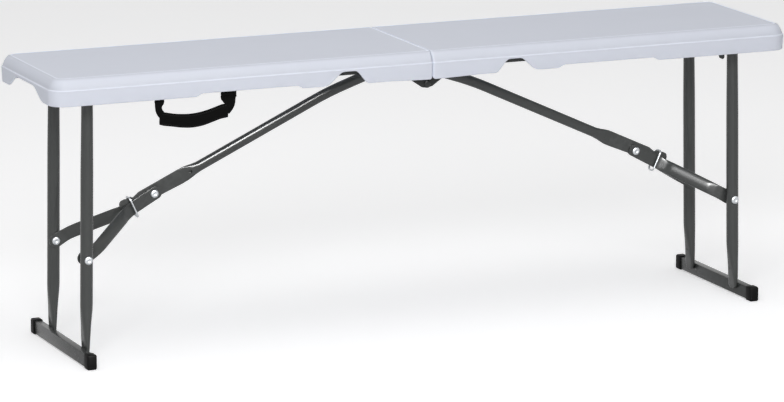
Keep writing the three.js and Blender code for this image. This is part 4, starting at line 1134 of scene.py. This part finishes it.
# Pale floor, soft lamps and a white surround.
studio = {"floorHalf": 14.0, "floorColour": colour(238, 238, 239), "floorGlow": 0.4, "worldLight": 0.3}
lamps = {
    "overhead": {"place": (-0.4, -0.9, 3.6), "aim": (0, 0, 0.2), "size": (4.0, 2.6), "power": 36},
    "front left": {"place": (-2.4, -4.4, 2.9), "aim": (0, 0, 0.3), "size": (2.4, 1.6), "power": 120},
    "front strip": {"place": (-0.17, -3.05, 1.83), "aim": (-0.25, 0, 0.3), "size": (1.0, 1.0), "power": 250,
                    "glossyOnly": True},
}


def anyRay(tree, *kinds):
    # 1 where the ray is of one of these kinds, and 0 elsewhere.
    path = tree.nodes.new("ShaderNodeLightPath").outputs
    seen = path[kinds[0]]
    for kind in kinds[1:]:
        seen = mathNode(tree, "MAXIMUM", seen, path[kind])
    return seen


def buildFloor():
    half = studio["floorHalf"]
    bm = bmesh.new()
    corners = [(-half, -half), (half, -half), (half, half), (-half, half)]
    bm.faces.new([bm.verts.new((x, y, 0)) for x, y in corners])
    material, tree, shader = newMaterial("studio floor")
    fill(tree, shader, {"Base Color": studio["floorColour"], "Roughness": 0.9})
    level = mathNode(tree, "MULTIPLY", anyRay(tree, "Is Camera Ray", "Is Glossy Ray"), studio["floorGlow"])
    glow = addNode(tree, "ShaderNodeEmission", {"Strength": level})
    both = addNode(tree, "ShaderNodeAddShader", {0: shader.outputs[0], 1: glow.outputs[0]})
    fill(tree, tree.nodes["Material Output"], {"Surface": both.outputs[0]})
    floor = newPiece("studio_floor", bm, material)


def buildWorld():
    world = bpy.data.worlds.new("studio")
    scene.world = world
    world.use_nodes = True
    tree, white = world.node_tree, (1, 1, 1, 1)
    light = fill(tree, tree.nodes["Background"], {"Color": white, "Strength": studio["worldLight"]})
    surround = addNode(tree, "ShaderNodeBackground", {"Color": white, "Strength": 1.0})
    seen = anyRay(tree, "Is Camera Ray", "Is Glossy Ray", "Is Transmission Ray")
    either = addNode(tree, "ShaderNodeMixShader", {0: seen, 1: light.outputs[0], 2: surround.outputs[0]})
    fill(tree, tree.nodes["World Output"], {"Surface": either.outputs[0]})


def placeLamps():
    for name, lamp in lamps.items():
        data = bpy.data.lights.new(name, "AREA")
        data.shape = "RECTANGLE"
        data.size, data.size_y = lamp["size"]
        data.energy = lamp["power"]
        light = bpy.data.objects.new(name, data)
        light.visible_diffuse = not lamp.get("glossyOnly", False)
        light.location = lamp["place"]
        way = Vector(lamp["aim"]) - Vector(lamp["place"])
        light.rotation_euler = way.to_track_quat("-Z", "Y").to_euler()
        scene.collection.objects.link(light)


buildFloor()
buildWorld()
placeLamps()
scene.view_settings.view_transform = "Standard"
print("studio made")
